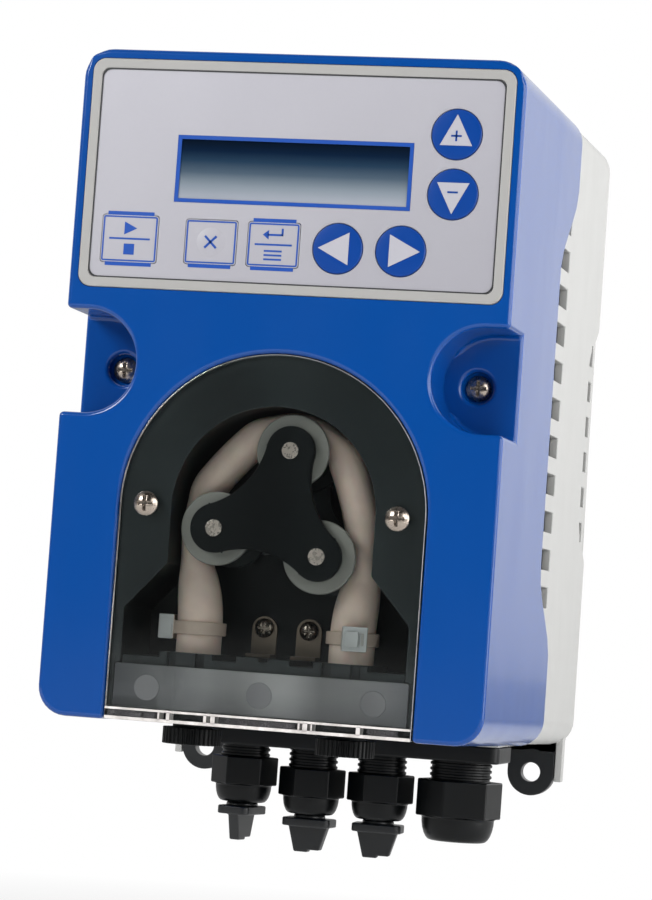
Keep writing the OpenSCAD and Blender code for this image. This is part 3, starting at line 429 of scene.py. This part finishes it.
def easedNode(name, look, width=0.3 * mm, segments=2, degrees=35, body=None, extra=None):
    # A CAD node with its edges rounded off; extra may add to it
    form = nodeForm(name)
    easeEdges(form, width, segments, degrees)
    if extra:
        extra(form)
    return makePiece(form, name + "Piece", look, body or bodyOf(name), [name])


def bodyOf(name):
    return frame["nodes"][name]["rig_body"]


def thicken(form, faces, thick):
    # Gives flat faces a thickness along +Y
    made = bmesh.ops.extrude_face_region(form, geom=faces, use_keep_orig=True)["geom"]
    bmesh.ops.translate(form, verts=[v for v in made if isinstance(v, bmesh.types.BMVert)], vec=(0, thick, 0))
    return faces


def plateFlat(form, centre, width, height, radius, front, corners=5):
    corner = [form.verts.new((centre.x + sx * width / 2, front, centre.z + sz * height / 2))
              for sx, sz in ((-1, -1), (1, -1), (1, 1), (-1, 1))]
    form.faces.new(corner)
    if radius > 0:
        bmesh.ops.bevel(form, geom=corner, offset=radius, offset_type="OFFSET", affect="VERTICES",
                        segments=corners, profile=0.5, clamp_overlap=False, material=-1)


def joinForm(target, other, material=None):
    # Adds other to target and frees it
    bmesh.ops.recalc_face_normals(other, faces=list(other.faces))
    if material is not None:
        for face in other.faces:
            face.material_index = material
    spare = bpy.data.meshes.new("spare")
    other.to_mesh(spare)
    other.free()
    target.from_mesh(spare)
    bpy.data.meshes.remove(spare)


def solidPlate(target, centre, width, height, radius, front, thick, ease=0.0, material=0, corners=5):
    form = bmesh.new()
    plateFlat(form, centre, width, height, radius, front, corners)
    thicken(form, list(form.faces), thick)
    bmesh.ops.recalc_face_normals(form, faces=list(form.faces))
    if ease:
        easeEdges(form, ease, 2, 50, lambda e: all(abs(v.co.y - front) < 1e-7 for v in e.verts))
    joinForm(target, form, material)


def solidRing(target, centre, width, height, radius, border, front, thick, material=0):
    form = bmesh.new()
    plateFlat(form, centre, width, height, radius, front)
    bmesh.ops.inset_region(form, faces=list(form.faces), thickness=border, use_even_offset=True,
                          use_boundary=True)
    middle = [f for f in form.faces if (f.calc_center_median() - Vector((centre.x, front, centre.z))).length < 1e-5]
    bmesh.ops.delete(form, geom=middle, context="FACES")
    thicken(form, list(form.faces), thick)
    joinForm(target, form, material)


def solidPoly(target, points, front, thick, material=0):
    # Flat shape facing -Y from a few corners (x, z)
    form = bmesh.new()
    form.faces.new([form.verts.new((x, front, z)) for x, z in points])
    thicken(form, list(form.faces), thick)
    joinForm(target, form, material)


def turned(profile, axisPoint, axis, steps=48):
    # A round shape: profile is (radius, distance along the axis) pairs, from one end of the axis to the other
    form = bmesh.new()
    side = axis.orthogonal().normalized()
    row = [form.verts.new(axisPoint + side * r + axis * d) for r, d in profile]
    edges = [form.edges.new(pair) for pair in zip(row, row[1:])]
    bmesh.ops.spin(form, geom=row + edges, cent=axisPoint, axis=axis, angle=math.tau, steps=steps, use_merge=True)
    bmesh.ops.remove_doubles(form, verts=form.verts, dist=1e-6)
    bmesh.ops.recalc_face_normals(form, faces=list(form.faces))
    return form


# Case
coverShape = {"edgeRadius": 1.3 * mm, "segments": 4}


def blueCover():
    form = nodeForm("front_cover")
    easeEdges(form, coverShape["edgeRadius"], coverShape["segments"], 32,
              lambda e: min(v.co.y for v in e.verts) < faceY + 26 * mm and not inPanel(e))
    return makePiece(form, "blueCover", "caseBlue", "case", ["front_cover"], 50)


def inPanel(edge):
    # Edges of the recess that holds the panel stay crisp, as do those behind the face
    low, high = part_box("panel_frame")
    mid = (edge.verts[0].co + edge.verts[1].co) / 2
    inside = low.x - mm < mid.x < high.x + mm and low.z - mm < mid.z < high.z + mm
    return inside or (mid.y > faceY + 1 * mm and abs(mid.x) < 44 * mm and mid.z > low.z - 60 * mm)


blueCover()
easedNode("rear_housing", "caseWhite", 0.35 * mm, 2)
easedNode("wall_bracket", "bracketBlack", 0.3 * mm, 2)
easedNode("case_screws", "screwSteel", 0.12 * mm, 2)
print("case done")

# Control panel
panelShape = {"frameEdge": 0.35 * mm, "printThick": 0.05 * mm, "lineWidth": 0.42 * mm, "windowBorder": 1.05 * mm}


def panelFrame():
    low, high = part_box("panel_frame")
    centre = (low + high) / 2
    form = nodeForm("panel_frame")
    easeEdges(form, panelShape["frameEdge"], 3, 50)
    piece = makePiece(form, "panelFramePiece", "frameGrey", "case", ["panel_frame"])
    lines = bmesh.new()
    faciaLow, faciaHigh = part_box("keypad_facia")
    width, height = faciaHigh.x - faciaLow.x, faciaHigh.z - faciaLow.z
    solidRing(lines, centre, width + 0.5 * mm, height + 0.5 * mm, 2.9 * mm, 0.42 * mm, low.y + 0.2 * mm, 0.4 * mm)
    makePiece(lines, "frameLine", "lineBlack", "case", (), weighted=False)
    return piece


def faciaPrint():
    form = bmesh.new()
    thick = panelShape["printThick"]
    front = faceY - thick
    low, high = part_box("display_window")
    centre = (low + high) / 2
    for name, bars in (("start_stop", (1, -1)), ("escape", (-1,)), ("enter", (1, -1))):
        keyLow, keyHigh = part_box("key_" + name)
        middle = (keyLow + keyHigh) / 2
        width = keyHigh.x - keyLow.x
        for side in bars:
            place = Vector((middle.x, 0, (keyHigh.z if side > 0 else keyLow.z) + side * 0.5 * mm))
            solidPlate(form, place, width * 0.83, 1.05 * mm, 0, front, thick)
    return makePiece(form, "faciaPrint", "printBlue", "case", (), weighted=False)


def displayPiece():
    low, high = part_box("display_window")
    centre = (low + high) / 2
    form = bmesh.new()
    width, height = high.x - low.x, high.z - low.z
    border = panelShape["windowBorder"]
    front = faceY - 0.04 * mm
    for side in (-1, 1):  # bright rim, in four bars
        across = Vector((centre.x, 0, centre.z + side * (height + 0.3 * mm - border) / 2))
        solidPlate(form, across, width + 0.3 * mm, border, 0, front, 1.4 * mm, 0, 0)
        upright = Vector((centre.x + side * (width + 0.3 * mm - border) / 2, 0, centre.z))
        solidPlate(form, upright, border, height + 0.3 * mm - 2 * border, 0, front, 1.4 * mm, 0, 0)
    solidPlate(form, centre, width - 2 * border + 0.3 * mm, height - 2 * border + 0.3 * mm, 0,
               faceY + 0.25 * mm, 1.6 * mm, 0, 1)
    return makePiece(form, "displayPiece", ["printBlue", "displayGlass"], "case", ["display_window"],
                     weighted=False)


panelFrame()
easedNode("keypad_facia", "faciaFilm", 0.1 * mm, 1, 50)
faciaPrint()
displayPiece()

roundKeyShape = {"dome": 0.35 * mm, "edge": 0.3 * mm, "mark": 4.1 * mm}


def roundKey(name, mark):
    low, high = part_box(name)
    centre = Vector(((low.x + high.x) / 2, low.y, (low.z + high.z) / 2))
    radius = (high.x - low.x) / 2
    rise = roundKeyShape["dome"]
    edge = roundKeyShape["edge"]
    plateThick = 1.2 * mm
    profile = [(0, 0), (radius * 0.45, 0.04 * rise), (radius * 0.8, 0.3 * rise), (radius - edge, 0.7 * rise),
               (radius - 0.1 * edge, rise + 0.6 * edge), (radius, rise + edge * 1.6), (radius, plateThick),
               (1.8 * mm, plateThick), (1.8 * mm, high.y - low.y), (0, high.y - low.y)]
    form = turned(profile, centre, Vector((0, 1, 0)), 64)
    size = roundKeyShape["mark"]
    front = low.y - 0.06 * mm
    if mark in ("up", "down", "left", "right"):
        turn = {"up": 90, "down": -90, "left": 180, "right": 0}[mark]
        reach = 1.32 * size
        points = []
        for step in (0, 125, 235):
            a = math.radians(turn + step)
            points.append((centre.x + reach * math.cos(a), centre.z + reach * math.sin(a)))
        solidPoly(form, points, front, 0.25 * mm, 1)
        if turn in (90, -90):
            shift = -0.12 * size if turn == 90 else 0.12 * size
            place = Vector((centre.x, 0, centre.z + shift))
            solidPlate(form, place, 2.9 * mm, 0.5 * mm, 0, front - 0.05 * mm, 0.25 * mm, 0, 0)
            if turn == 90:
                solidPlate(form, place, 0.5 * mm, 2.9 * mm, 0, front - 0.05 * mm, 0.25 * mm, 0, 0)
    return makePiece(form, name + "Piece", ["keyBlue", "markPale"], name, [name], 30)


def squareKey(name, marks):
    low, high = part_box(name)
    centre = Vector(((low.x + high.x) / 2, low.y, (low.z + high.z) / 2))
    width, height = high.x - low.x, high.z - low.z
    form = bmesh.new()
    centre.y = faceY - 0.12 * mm
    solidPlate(form, centre, width, height, 0.8 * mm, centre.y, low.y + 1.2 * mm - centre.y, 0.1 * mm, 0)
    centre.y = low.y
    stem = turned([(0, 1.15 * mm), (1.8 * mm, 1.15 * mm), (1.8 * mm, high.y - low.y), (0, high.y - low.y)], centre,
                  Vector((0, 1, 0)), 24)
    joinForm(form, stem, 0)
    centre.y = faceY - 0.12 * mm
    front = centre.y - 0.05 * mm
    line = panelShape["lineWidth"]
    solidRing(form, centre, width - 0.5 * mm, height - 0.5 * mm, 0.55 * mm, line, front, 0.1 * mm, 1)
    marks(form, centre, front)
    return makePiece(form, name + "Piece", ["faciaFilm", "printBlue"], name, [name], 30)


def startStopMarks(form, centre, front):
    # A run triangle above the line, a stop square below it
    solidPlate(form, centre, 11.6 * mm, 0.5 * mm, 0, front, 0.1 * mm, 0, 1)
    up, down = centre.z + 2.9 * mm, centre.z - 2.9 * mm
    solidPoly(form, [(centre.x - 1.6 * mm, up - 1.8 * mm), (centre.x + 2 * mm, up),
                     (centre.x - 1.6 * mm, up + 1.8 * mm)], front, 0.1 * mm, 1)
    solidPlate(form, Vector((centre.x, 0, down)), 3 * mm, 3 * mm, 0, front, 0.1 * mm, 0, 1)


def escapeMarks(form, centre, front):
    # A plain cross on the raised dome
    dome = turned([(0, -0.32 * mm), (2 * mm, -0.27 * mm), (3.4 * mm, -0.12 * mm), (4.3 * mm, 0.06 * mm),
                   (4.3 * mm, 0.5 * mm)], Vector((centre.x, centre.y, centre.z)), Vector((0, 1, 0)), 48)
    joinForm(form, dome, 0)
    for turn in (45, 135):
        bar = bmesh.new()
        plateFlat(bar, Vector((0, 0, 0)), 4.6 * mm, 0.6 * mm, 0, 0)
        thicken(bar, list(bar.faces), 0.3 * mm)
        bmesh.ops.rotate(bar, verts=bar.verts, cent=(0, 0, 0), matrix=Matrix.Rotation(math.radians(turn), 3, "Y"))
        bmesh.ops.translate(bar, verts=bar.verts, vec=(centre.x, front - 0.32 * mm, centre.z))
        joinForm(form, bar, 1)


def enterMarks(form, centre, front):
    # A return arrow above the line, three list bars below it
    solidPlate(form, centre, 10.4 * mm, 0.5 * mm, 0, front, 0.1 * mm, 0, 1)
    up, down = centre.z + 2.7 * mm, centre.z - 2.9 * mm
    solidPlate(form, Vector((centre.x + 0.4 * mm, 0, up)), 4.4 * mm, 0.55 * mm, 0, front, 0.1 * mm, 0, 1)
    solidPlate(form, Vector((centre.x + 2.4 * mm, 0, up + 0.8 * mm)), 0.55 * mm, 2 * mm, 0, front, 0.1 * mm, 0, 1)
    solidPoly(form, [(centre.x - 3.1 * mm, up), (centre.x - 1.4 * mm, up - 1.3 * mm),
                     (centre.x - 1.4 * mm, up + 1.3 * mm)], front, 0.1 * mm, 1)
    for k in (-1, 0, 1):
        solidPlate(form, Vector((centre.x, 0, down + 1.15 * k * mm)), 5 * mm, 0.5 * mm, 0, front, 0.1 * mm, 0, 1)


roundKey("key_plus", "up")
roundKey("key_minus", "down")
roundKey("key_left", "left")
roundKey("key_right", "right")
squareKey("key_start_stop", startStopMarks)
squareKey("key_escape", escapeMarks)
squareKey("key_enter", enterMarks)
print("control panel done")

# Pump head
lipShape = {"ribs": ((-27.2, 0.5), (-24.6, 0.9), (-14.2, 0.8), (-12, 1.2), (11.9, 0.5), (13.6, 1.3), (15.4, 0.4),
                     (28.2, 1.1)), "blocks": ((-37, 9.5), (-30, 3), (0, 21), (34.5, 8))}
headShape = {"edge": 0.45 * mm, "rollerEdge": 0.4 * mm, "flange": 1.2 * mm, "armEdge": 0.35 * mm}


def headBody():
    # The ring round the chamber keeps its grey; faces deeper in the chamber take a near-black finish, which is
    # painted shade
    form = nodeForm("pump_head_housing")
    easeEdges(form, headShape["edge"], 2, 40, lambda e: min(v.co.y for v in e.verts) < faceY + 5.5 * mm)
    # painted shade on the chamber's deep faces
    for face in form.faces:
        if face.calc_center_median().y > faceY + 2.6 * mm:
            face.material_index = 1
    return makePiece(form, "headBody", ["headRing", "headBlack"], "case", ["pump_head_housing"])


def clearCover():
    form = nodeForm("clear_cover")
    easeEdges(form, 0.42 * mm, 2, 40)
    low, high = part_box("clear_cover")
    bmesh.ops.recalc_face_normals(form, faces=list(form.faces))
    # painted highlight: the cut edges near the front take the pale edge finish
    for face in form.faces:
        level = abs(face.normal.y)
        if level < 0.9 and face.calc_center_median().y < faceY + 1.6 * mm:
            face.material_index = 1
    front = faceY - 0.02 * mm
    width = high.x - low.x - 0.3 * mm
    # Ledges and ribs of the lower lip, bright with a painted highlight, with hazy blocks between some of them
    solidPlate(form, Vector((0, 0, low.z + 0.5 * mm)), width, 0.8 * mm, 0, front, 0.5 * mm, 0, 1)
    solidPlate(form, Vector((0, 0, low.z + 3.05 * mm)), width, 0.6 * mm, 0, front, 0.5 * mm, 0, 1)
    for x, wide in lipShape["ribs"]:
        solidPlate(form, Vector((x * mm, 0, low.z + 1.8 * mm)), wide * mm, 2.3 * mm, 0, front, 4.5 * mm, 0, 1)
    for x, wide in lipShape["blocks"]:
        solidPlate(form, Vector((x * mm, 0, low.z + 1.75 * mm)), wide * mm, 1.5 * mm, 0.3 * mm, front + 0.5 * mm,
                   3 * mm, 0, 2)
    return makePiece(form, "clearCoverPiece", ["paneClear", "paneEdgeHighlight", "lipHaze"], "case", ["clear_cover"])


def stripPiece():
    low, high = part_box("strip_plate")
    form = nodeForm("strip_plate")
    easeEdges(form, 0.25 * mm, 2, 50)
    for x in (-31.5, 0, 31.5):
        centre = Vector((x * mm, low.y, (low.z + high.z) / 2 - 0.3 * mm))
        disc = turned([(0, -0.05 * mm), (3.1 * mm, -0.05 * mm), (3.25 * mm, -0.16 * mm), (3.5 * mm, -0.16 * mm),
                       (3.65 * mm, 0.1 * mm), (0, 0.1 * mm)], centre, Vector((0, 1, 0)), 48)
        joinForm(form, disc, 1)
    return makePiece(form, "stripPiece", ["stripGrey", "stripDisc"], "case", ["strip_plate"])


headBody()
clearCover()
stripPiece()
easedNode("clear_cover_screws", "screwSteel", 0.12 * mm, 2)
easedNode("tube_holder", "headRing", 0.25 * mm, 2)
easedNode("leak_contacts", "contactMetal", 0.15 * mm, 2)
easedNode("inner_screws", "screwSteel", 0.1 * mm, 1)
easedNode("rotor_front_plate", "rotorBlack", headShape["armEdge"], 2, 50)
easedNode("rotor_rear_plate", "headRing", 0.3 * mm, 2, 50)
easedNode("roller_pins", "pinSteel", 0.15 * mm, 2, 50)


def rollerPiece(name):
    # Pale front flange; barrel and rear flange take a darker finish, painted shade
    form = nodeForm(name)
    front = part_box(name)[0].y + headShape["flange"]
    # painted shade: faces behind the front flange take the dark finish
    for face in form.faces:
        if face.calc_center_median().y > front:
            face.material_index = 1
    easeEdges(form, headShape["rollerEdge"], 3, 50)
    return makePiece(form, name + "Piece", ["rollerGrey", "rollerBackShade"], bodyOf(name), [name])


for n in (1, 2, 3):
    rollerPiece("roller_%d" % n)
print("pump head done")

# Pump tube
tubeShape = {"diameter": 10 * mm, "gap": 0.3 * mm, "track": 28.35 * mm, "barrel": 7 * mm,
             "endDiameter": 12.5 * mm, "straight": 9.3 * mm, "steps": 150, "sides": 32}


def tubeStation(angle):
    # Place and thickness of the tube between the barrels and the wall, at an angle about the head's middle
    direction = Vector((math.cos(angle), 0, math.sin(angle)))
    barrel = tubeShape["barrel"]
    spots = [Vector((p.x - headAxis.x, 0, p.z - headAxis.z)) for p in pins]
    reach = 0
    for spot in spots:
        along = spot.dot(direction)
        off = spot.length_squared - along * along
        if along > 0 and off < barrel ** 2:
            reach = max(reach, along + math.sqrt(barrel ** 2 - off))
    for first, second in ((0, 1), (0, 2)):
        middle = (spots[first] + spots[second]).normalized()
        flat = spots[first].dot(middle) + barrel
        lean = direction.dot(middle)
        halfSpan = math.atan2((spots[first] - middle * spots[first].dot(middle)).length, flat)
        if lean > math.cos(halfSpan):
            reach = max(reach, flat / lean)
    reach += tubeShape["gap"]
    upright = 1 if direction.z > 0 else abs(direction.x)
    room = 2 * (tubeShape["track"] - reach * upright) / (1 + upright)
    thick = min(tubeShape["diameter"], room)
    middle = direction * (reach + thick / 2)
    thick = min([thick] + [2 * ((middle - spot).length - barrel - tubeShape["gap"]) for spot in spots])
    return middle.x, headAxis.z + middle.z, thick


def tubePath():
    # Stations (x, z, thickness) from the left connector over the rollers to the right one
    start = math.atan2(pins[1].z - headAxis.z, pins[1].x - headAxis.x) % math.tau + math.radians(10)
    finish = math.atan2(pins[2].z - headAxis.z, pins[2].x - headAxis.x) + math.radians(10)
    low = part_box("pump_tube")[0]
    legX = abs(joints["connector_nut_left_turn"]["pos_m"][0])
    bendZ = low.z + tubeShape["straight"]
    steps = tubeShape["steps"]
    arc = [tubeStation(start + (finish - start) * i / steps) for i in range(steps + 1)]
    legs = []
    for side, top in ((-1, arc[0]), (1, arc[-1])):
        leg = []
        for i in range(30):
            z = low.z + (top[1] - low.z) * i / 30
            bend = max(0, (z - bendZ) / (top[1] - bendZ))
            leg.append((side * legX + (top[0] - side * legX) * bend ** 1.4, z,
                        tubeShape["endDiameter"] + (top[2] - tubeShape["endDiameter"]) * bend ** 3))
        legs.append(leg)
    path = legs[0] + arc + legs[1][::-1]
    for _ in range(16):  # takes the corners out where the tube comes off a roller
        path = [path[0]] + [tuple((a[k] + 2 * b[k] + c[k]) / 4 for k in range(3))
                            for a, b, c in zip(path, path[1:], path[2:])] + [path[-1]]
    return path


def pumpTube():
    path = tubePath()
    form = bmesh.new()
    sides = tubeShape["sides"]
    ring = bmesh.ops.create_circle(form, cap_ends=True, segments=sides, radius=1)["verts"]
    first = [v.co.copy() for v in ring]
    for i, (x, z, thick) in enumerate(path):
        before, after = path[max(0, i - 1)], path[min(len(path) - 1, i + 1)]
        run = Vector((after[0] - before[0], 0, after[1] - before[1])).normalized()
        if i in (0, len(path) - 1):
            run = Vector((0, 0, 1 if i == 0 else -1))
        across = Vector((run.z, 0, -run.x))
        wide = thick / 2 + max(0, tubeShape["diameter"] - thick) * 0.5 * 1.4
        if i:
            edges = list({e for v in ring for e in v.link_edges if all(w in ring for w in e.verts)})
            made = bmesh.ops.extrude_edge_only(form, edges=edges)["geom"]
            new = [g for g in made if isinstance(g, bmesh.types.BMVert)]
            order = {}
            for v in new:
                for e in v.link_edges:
                    other = e.other_vert(v)
                    if other in ring:
                        order[ring.index(other)] = v
            ring = [order[k] for k in range(sides)]
        for v, unit in zip(ring, first):
            v.co = Vector((x, tubeMiddleY, z)) + across * (unit.x * thick / 2) + Vector((0, 1, 0)) * unit.y * wide
    form.faces.new(ring)
    bmesh.ops.recalc_face_normals(form, faces=list(form.faces))
    return makePiece(form, "pumpTube", "tubeRubber", "case", ["pump_tube"], 60, False)


def tiePiece(name, side):
    # Translucent band with a whiter head, which has a window for the strap's end
    form = nodeForm(name)
    easeEdges(form, 0.3 * mm, 2, 50)
    middle = Vector(joints["connector_nut_%s_turn" % side]["pos_m"])
    reach = tubeShape["endDiameter"] / 2 + 1.3 * mm
    for face in form.faces:
        spot = face.calc_center_median()
        if math.hypot(spot.x - middle.x, spot.y - middle.y) < reach:
            face.material_index = 1
    low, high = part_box(name)
    if side == "right":
        spot = Vector((middle.x + 2.2 * mm, 0, (low.z + high.z) / 2))
        solidPlate(form, spot, 3.6 * mm, 4.2 * mm, 0.4 * mm, low.y - 0.25 * mm, 0.4 * mm, 0.1 * mm, 0)
        solidPlate(form, spot + Vector((2.9 * mm, 0, 0)), 0.7 * mm, 3.4 * mm, 0, low.y - 0.04 * mm, 0.2 * mm, 0, 2)
    else:
        spot = Vector((low.x + 2.3 * mm, 0, (low.z + high.z) / 2))
        front = tubeMiddleY - 3.5 * mm
        solidPlate(form, spot, 3.2 * mm, 4.6 * mm, 0.4 * mm, front - 0.2 * mm, 0.4 * mm, 0.1 * mm, 0)
    return makePiece(form, name + "Piece", ["tieNylon", "tieBand", "tieShade"], "case", [name])


pumpTube()
for side in ("left", "right"):
    tiePiece("tube_tie_" + side, side)
    easedNode("tube_connector_" + side, "headBlack", 0.2 * mm, 2, 50)
    easedNode("connector_nut_" + side, "glandBlack", 0.12 * mm, 1, 60)
print("tube done")

# Glands
easedNode("gland_plate", "glandBlack", 0.6 * mm, 3, 50)
for n in (1, 2, 3, 4):
    easedNode("gland_body_%d" % n, "glandBlack", 0.15 * mm, 1, 60)
    easedNode("gland_nut_%d" % n, "glandBlack", 0.45 * mm, 3, 28)
easedNode("gland_seals", "sealBlack", 0.2 * mm, 2, 50)
easedNode("gland_plugs", "plugBlack", 0.4 * mm, 3, 50)
print("glands done")

# Carried-over nodes inside the case

inner = {
    "display_module": "boardGreen", "control_board": "boardGreen", "power_board": "boardGreen",
    "key_switches": "headBlack", "rotor_shaft": "pinSteel", "shaft_bearings": "screwSteel",
    "gearbox_housing": "headRing", "gearbox_cover": "headRing", "output_gear": "gearAcetal",
    "idler_gear": "gearAcetal", "motor_pinion": "brass", "drive_motor": "motorZinc",
    "transformer": "copper", "terminal_block": "terminalGreen",
}
for name, look in inner.items():
    mesh = frame["nodes"][name].data
    mesh.materials.clear()
    mesh.materials.append(finishes[look])
print("inner nodes done")

# Stage, light, camera
stageLook = {"floorDrop": 90 * mm, "ambient": 0.5, "front": 0.36}


def floor():
    form = bmesh.new()
    bmesh.ops.create_grid(form, x_segments=1, y_segments=1, size=14)
    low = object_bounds()[0]
    bmesh.ops.translate(form, verts=form.verts, vec=(0, 0, low[2] - stageLook["floorDrop"]))
    mesh = bpy.data.meshes.new("floor")
    form.to_mesh(mesh)
    form.free()
    piece = bpy.data.objects.new("floor", mesh)
    bpy.context.scene.collection.objects.link(piece)
    f = Finish("floorPale")
    grain = f.noise(30, 3, 0.5)
    matt = f.principled(base=f.blend(grain, (0.86, 0.86, 0.86, 1), (0.9, 0.9, 0.9, 1)), roughness=0.8)
    white = f.add("ShaderNodeEmission", None, {"Color": (1, 1, 1, 1), "Strength": 1.0})
    seen = f.add("ShaderNodeLightPath", out="Is Camera Ray")
    away = f.add("ShaderNodeVectorMath", {"operation": "LENGTH"}, {0: f.place()}, "Value")
    amount = seen * f.span(away, 0.35, 0.9, 0.2, 1.0)
    mesh.materials.append(f.surface(f.add("ShaderNodeMixShader", None, {0: amount, 1: matt, 2: white})))
    piece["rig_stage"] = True


def world():
    setting = bpy.data.worlds.new("studio")
    setting.use_nodes = True
    bpy.context.scene.world = setting
    f = Finish("studio", setting.node_tree)
    direction = f.add("ShaderNodeTexCoord", out="Generated")
    toWall = f.add("ShaderNodeSeparateXYZ", None, {0: direction}, 1)
    tone = f.span(toWall, -0.5, 0.6, stageLook["front"], 1.0)
    ambient = tone * stageLook["ambient"]
    seen = f.add("ShaderNodeLightPath", out="Is Camera Ray")
    shiny = f.add("ShaderNodeLightPath", out="Is Glossy Ray")
    passing = f.add("ShaderNodeLightPath", out="Is Transmission Ray")
    rise = f.add("ShaderNodeSeparateXYZ", None, {0: direction}, 2)
    mirror = f.span(toWall, -0.2, 0.5, 0.04, 0.95) * f.span(rise, -0.03, 0.1, 0.75, 1)
    strength = seen + (1 - seen) * (passing + (1 - passing) * (shiny * mirror + (1 - shiny) * ambient))
    sky = f.add("ShaderNodeBackground", None, {"Color": (1, 1, 1, 1), "Strength": strength})
    f.add("ShaderNodeOutputWorld", None, {"Surface": sky})


def lamp(name, place, target, size, power):
    data = bpy.data.lights.new(name, "AREA")
    data.shape = "RECTANGLE"
    data.size, data.size_y = size
    data.energy = power
    piece = bpy.data.objects.new(name, data)
    bpy.context.scene.collection.objects.link(piece)
    piece.location = place
    piece.rotation_euler = (Vector(target) - Vector(place)).to_track_quat("-Z", "Y").to_euler()


def camera():
    # Stands low and to the right, looks slightly up, and leans a little
    view = {"place": (198.3 * mm, -970.0 * mm, 37.9 * mm), "yaw": 12.74, "pitch": 3.41, "roll": 4.08, "lens": 124.2}
    yaw, pitch, roll = (math.radians(view[k]) for k in ("yaw", "pitch", "roll"))
    ahead = Vector((-math.sin(yaw) * math.cos(pitch), math.cos(yaw) * math.cos(pitch), math.sin(pitch)))
    right = Vector((math.cos(yaw), math.sin(yaw), 0))
    up = right.cross(ahead)
    leanRight = right * math.cos(roll) + up * math.sin(roll)
    leanUp = up * math.cos(roll) - right * math.sin(roll)
    data = bpy.data.cameras.new("camera")
    data.lens = view["lens"]
    data.sensor_width = 36
    data.clip_start = 0.01
    piece = bpy.data.objects.new("camera", data)
    bpy.context.scene.collection.objects.link(piece)
    turn = Matrix((leanRight, leanUp, -ahead)).transposed().to_4x4()
    piece.matrix_world = Matrix.Translation(view["place"]) @ turn
    bpy.context.scene.camera = piece


floor()
world()
lamp("keyLamp", (-1.0, -1.2, 0.85), (0, -0.1, 0.08), (0.6, 0.6), 22)
lamp("fillLamp", (1.0, -0.9, 0.5), (0, -0.1, 0.08), (0.7, 0.7), 8)
lamp("sideLamp", (1.3, -0.2, 0.25), (0.06, -0.08, 0.03), (0.8, 0.8), 9)
lamp("rearLamp", (0.9, 0.7, 0.6), (0.05, -0.05, 0.08), (1.0, 1.0), 6)
camera()
bpy.context.scene.view_settings.view_transform = "Standard"

print("scene done")
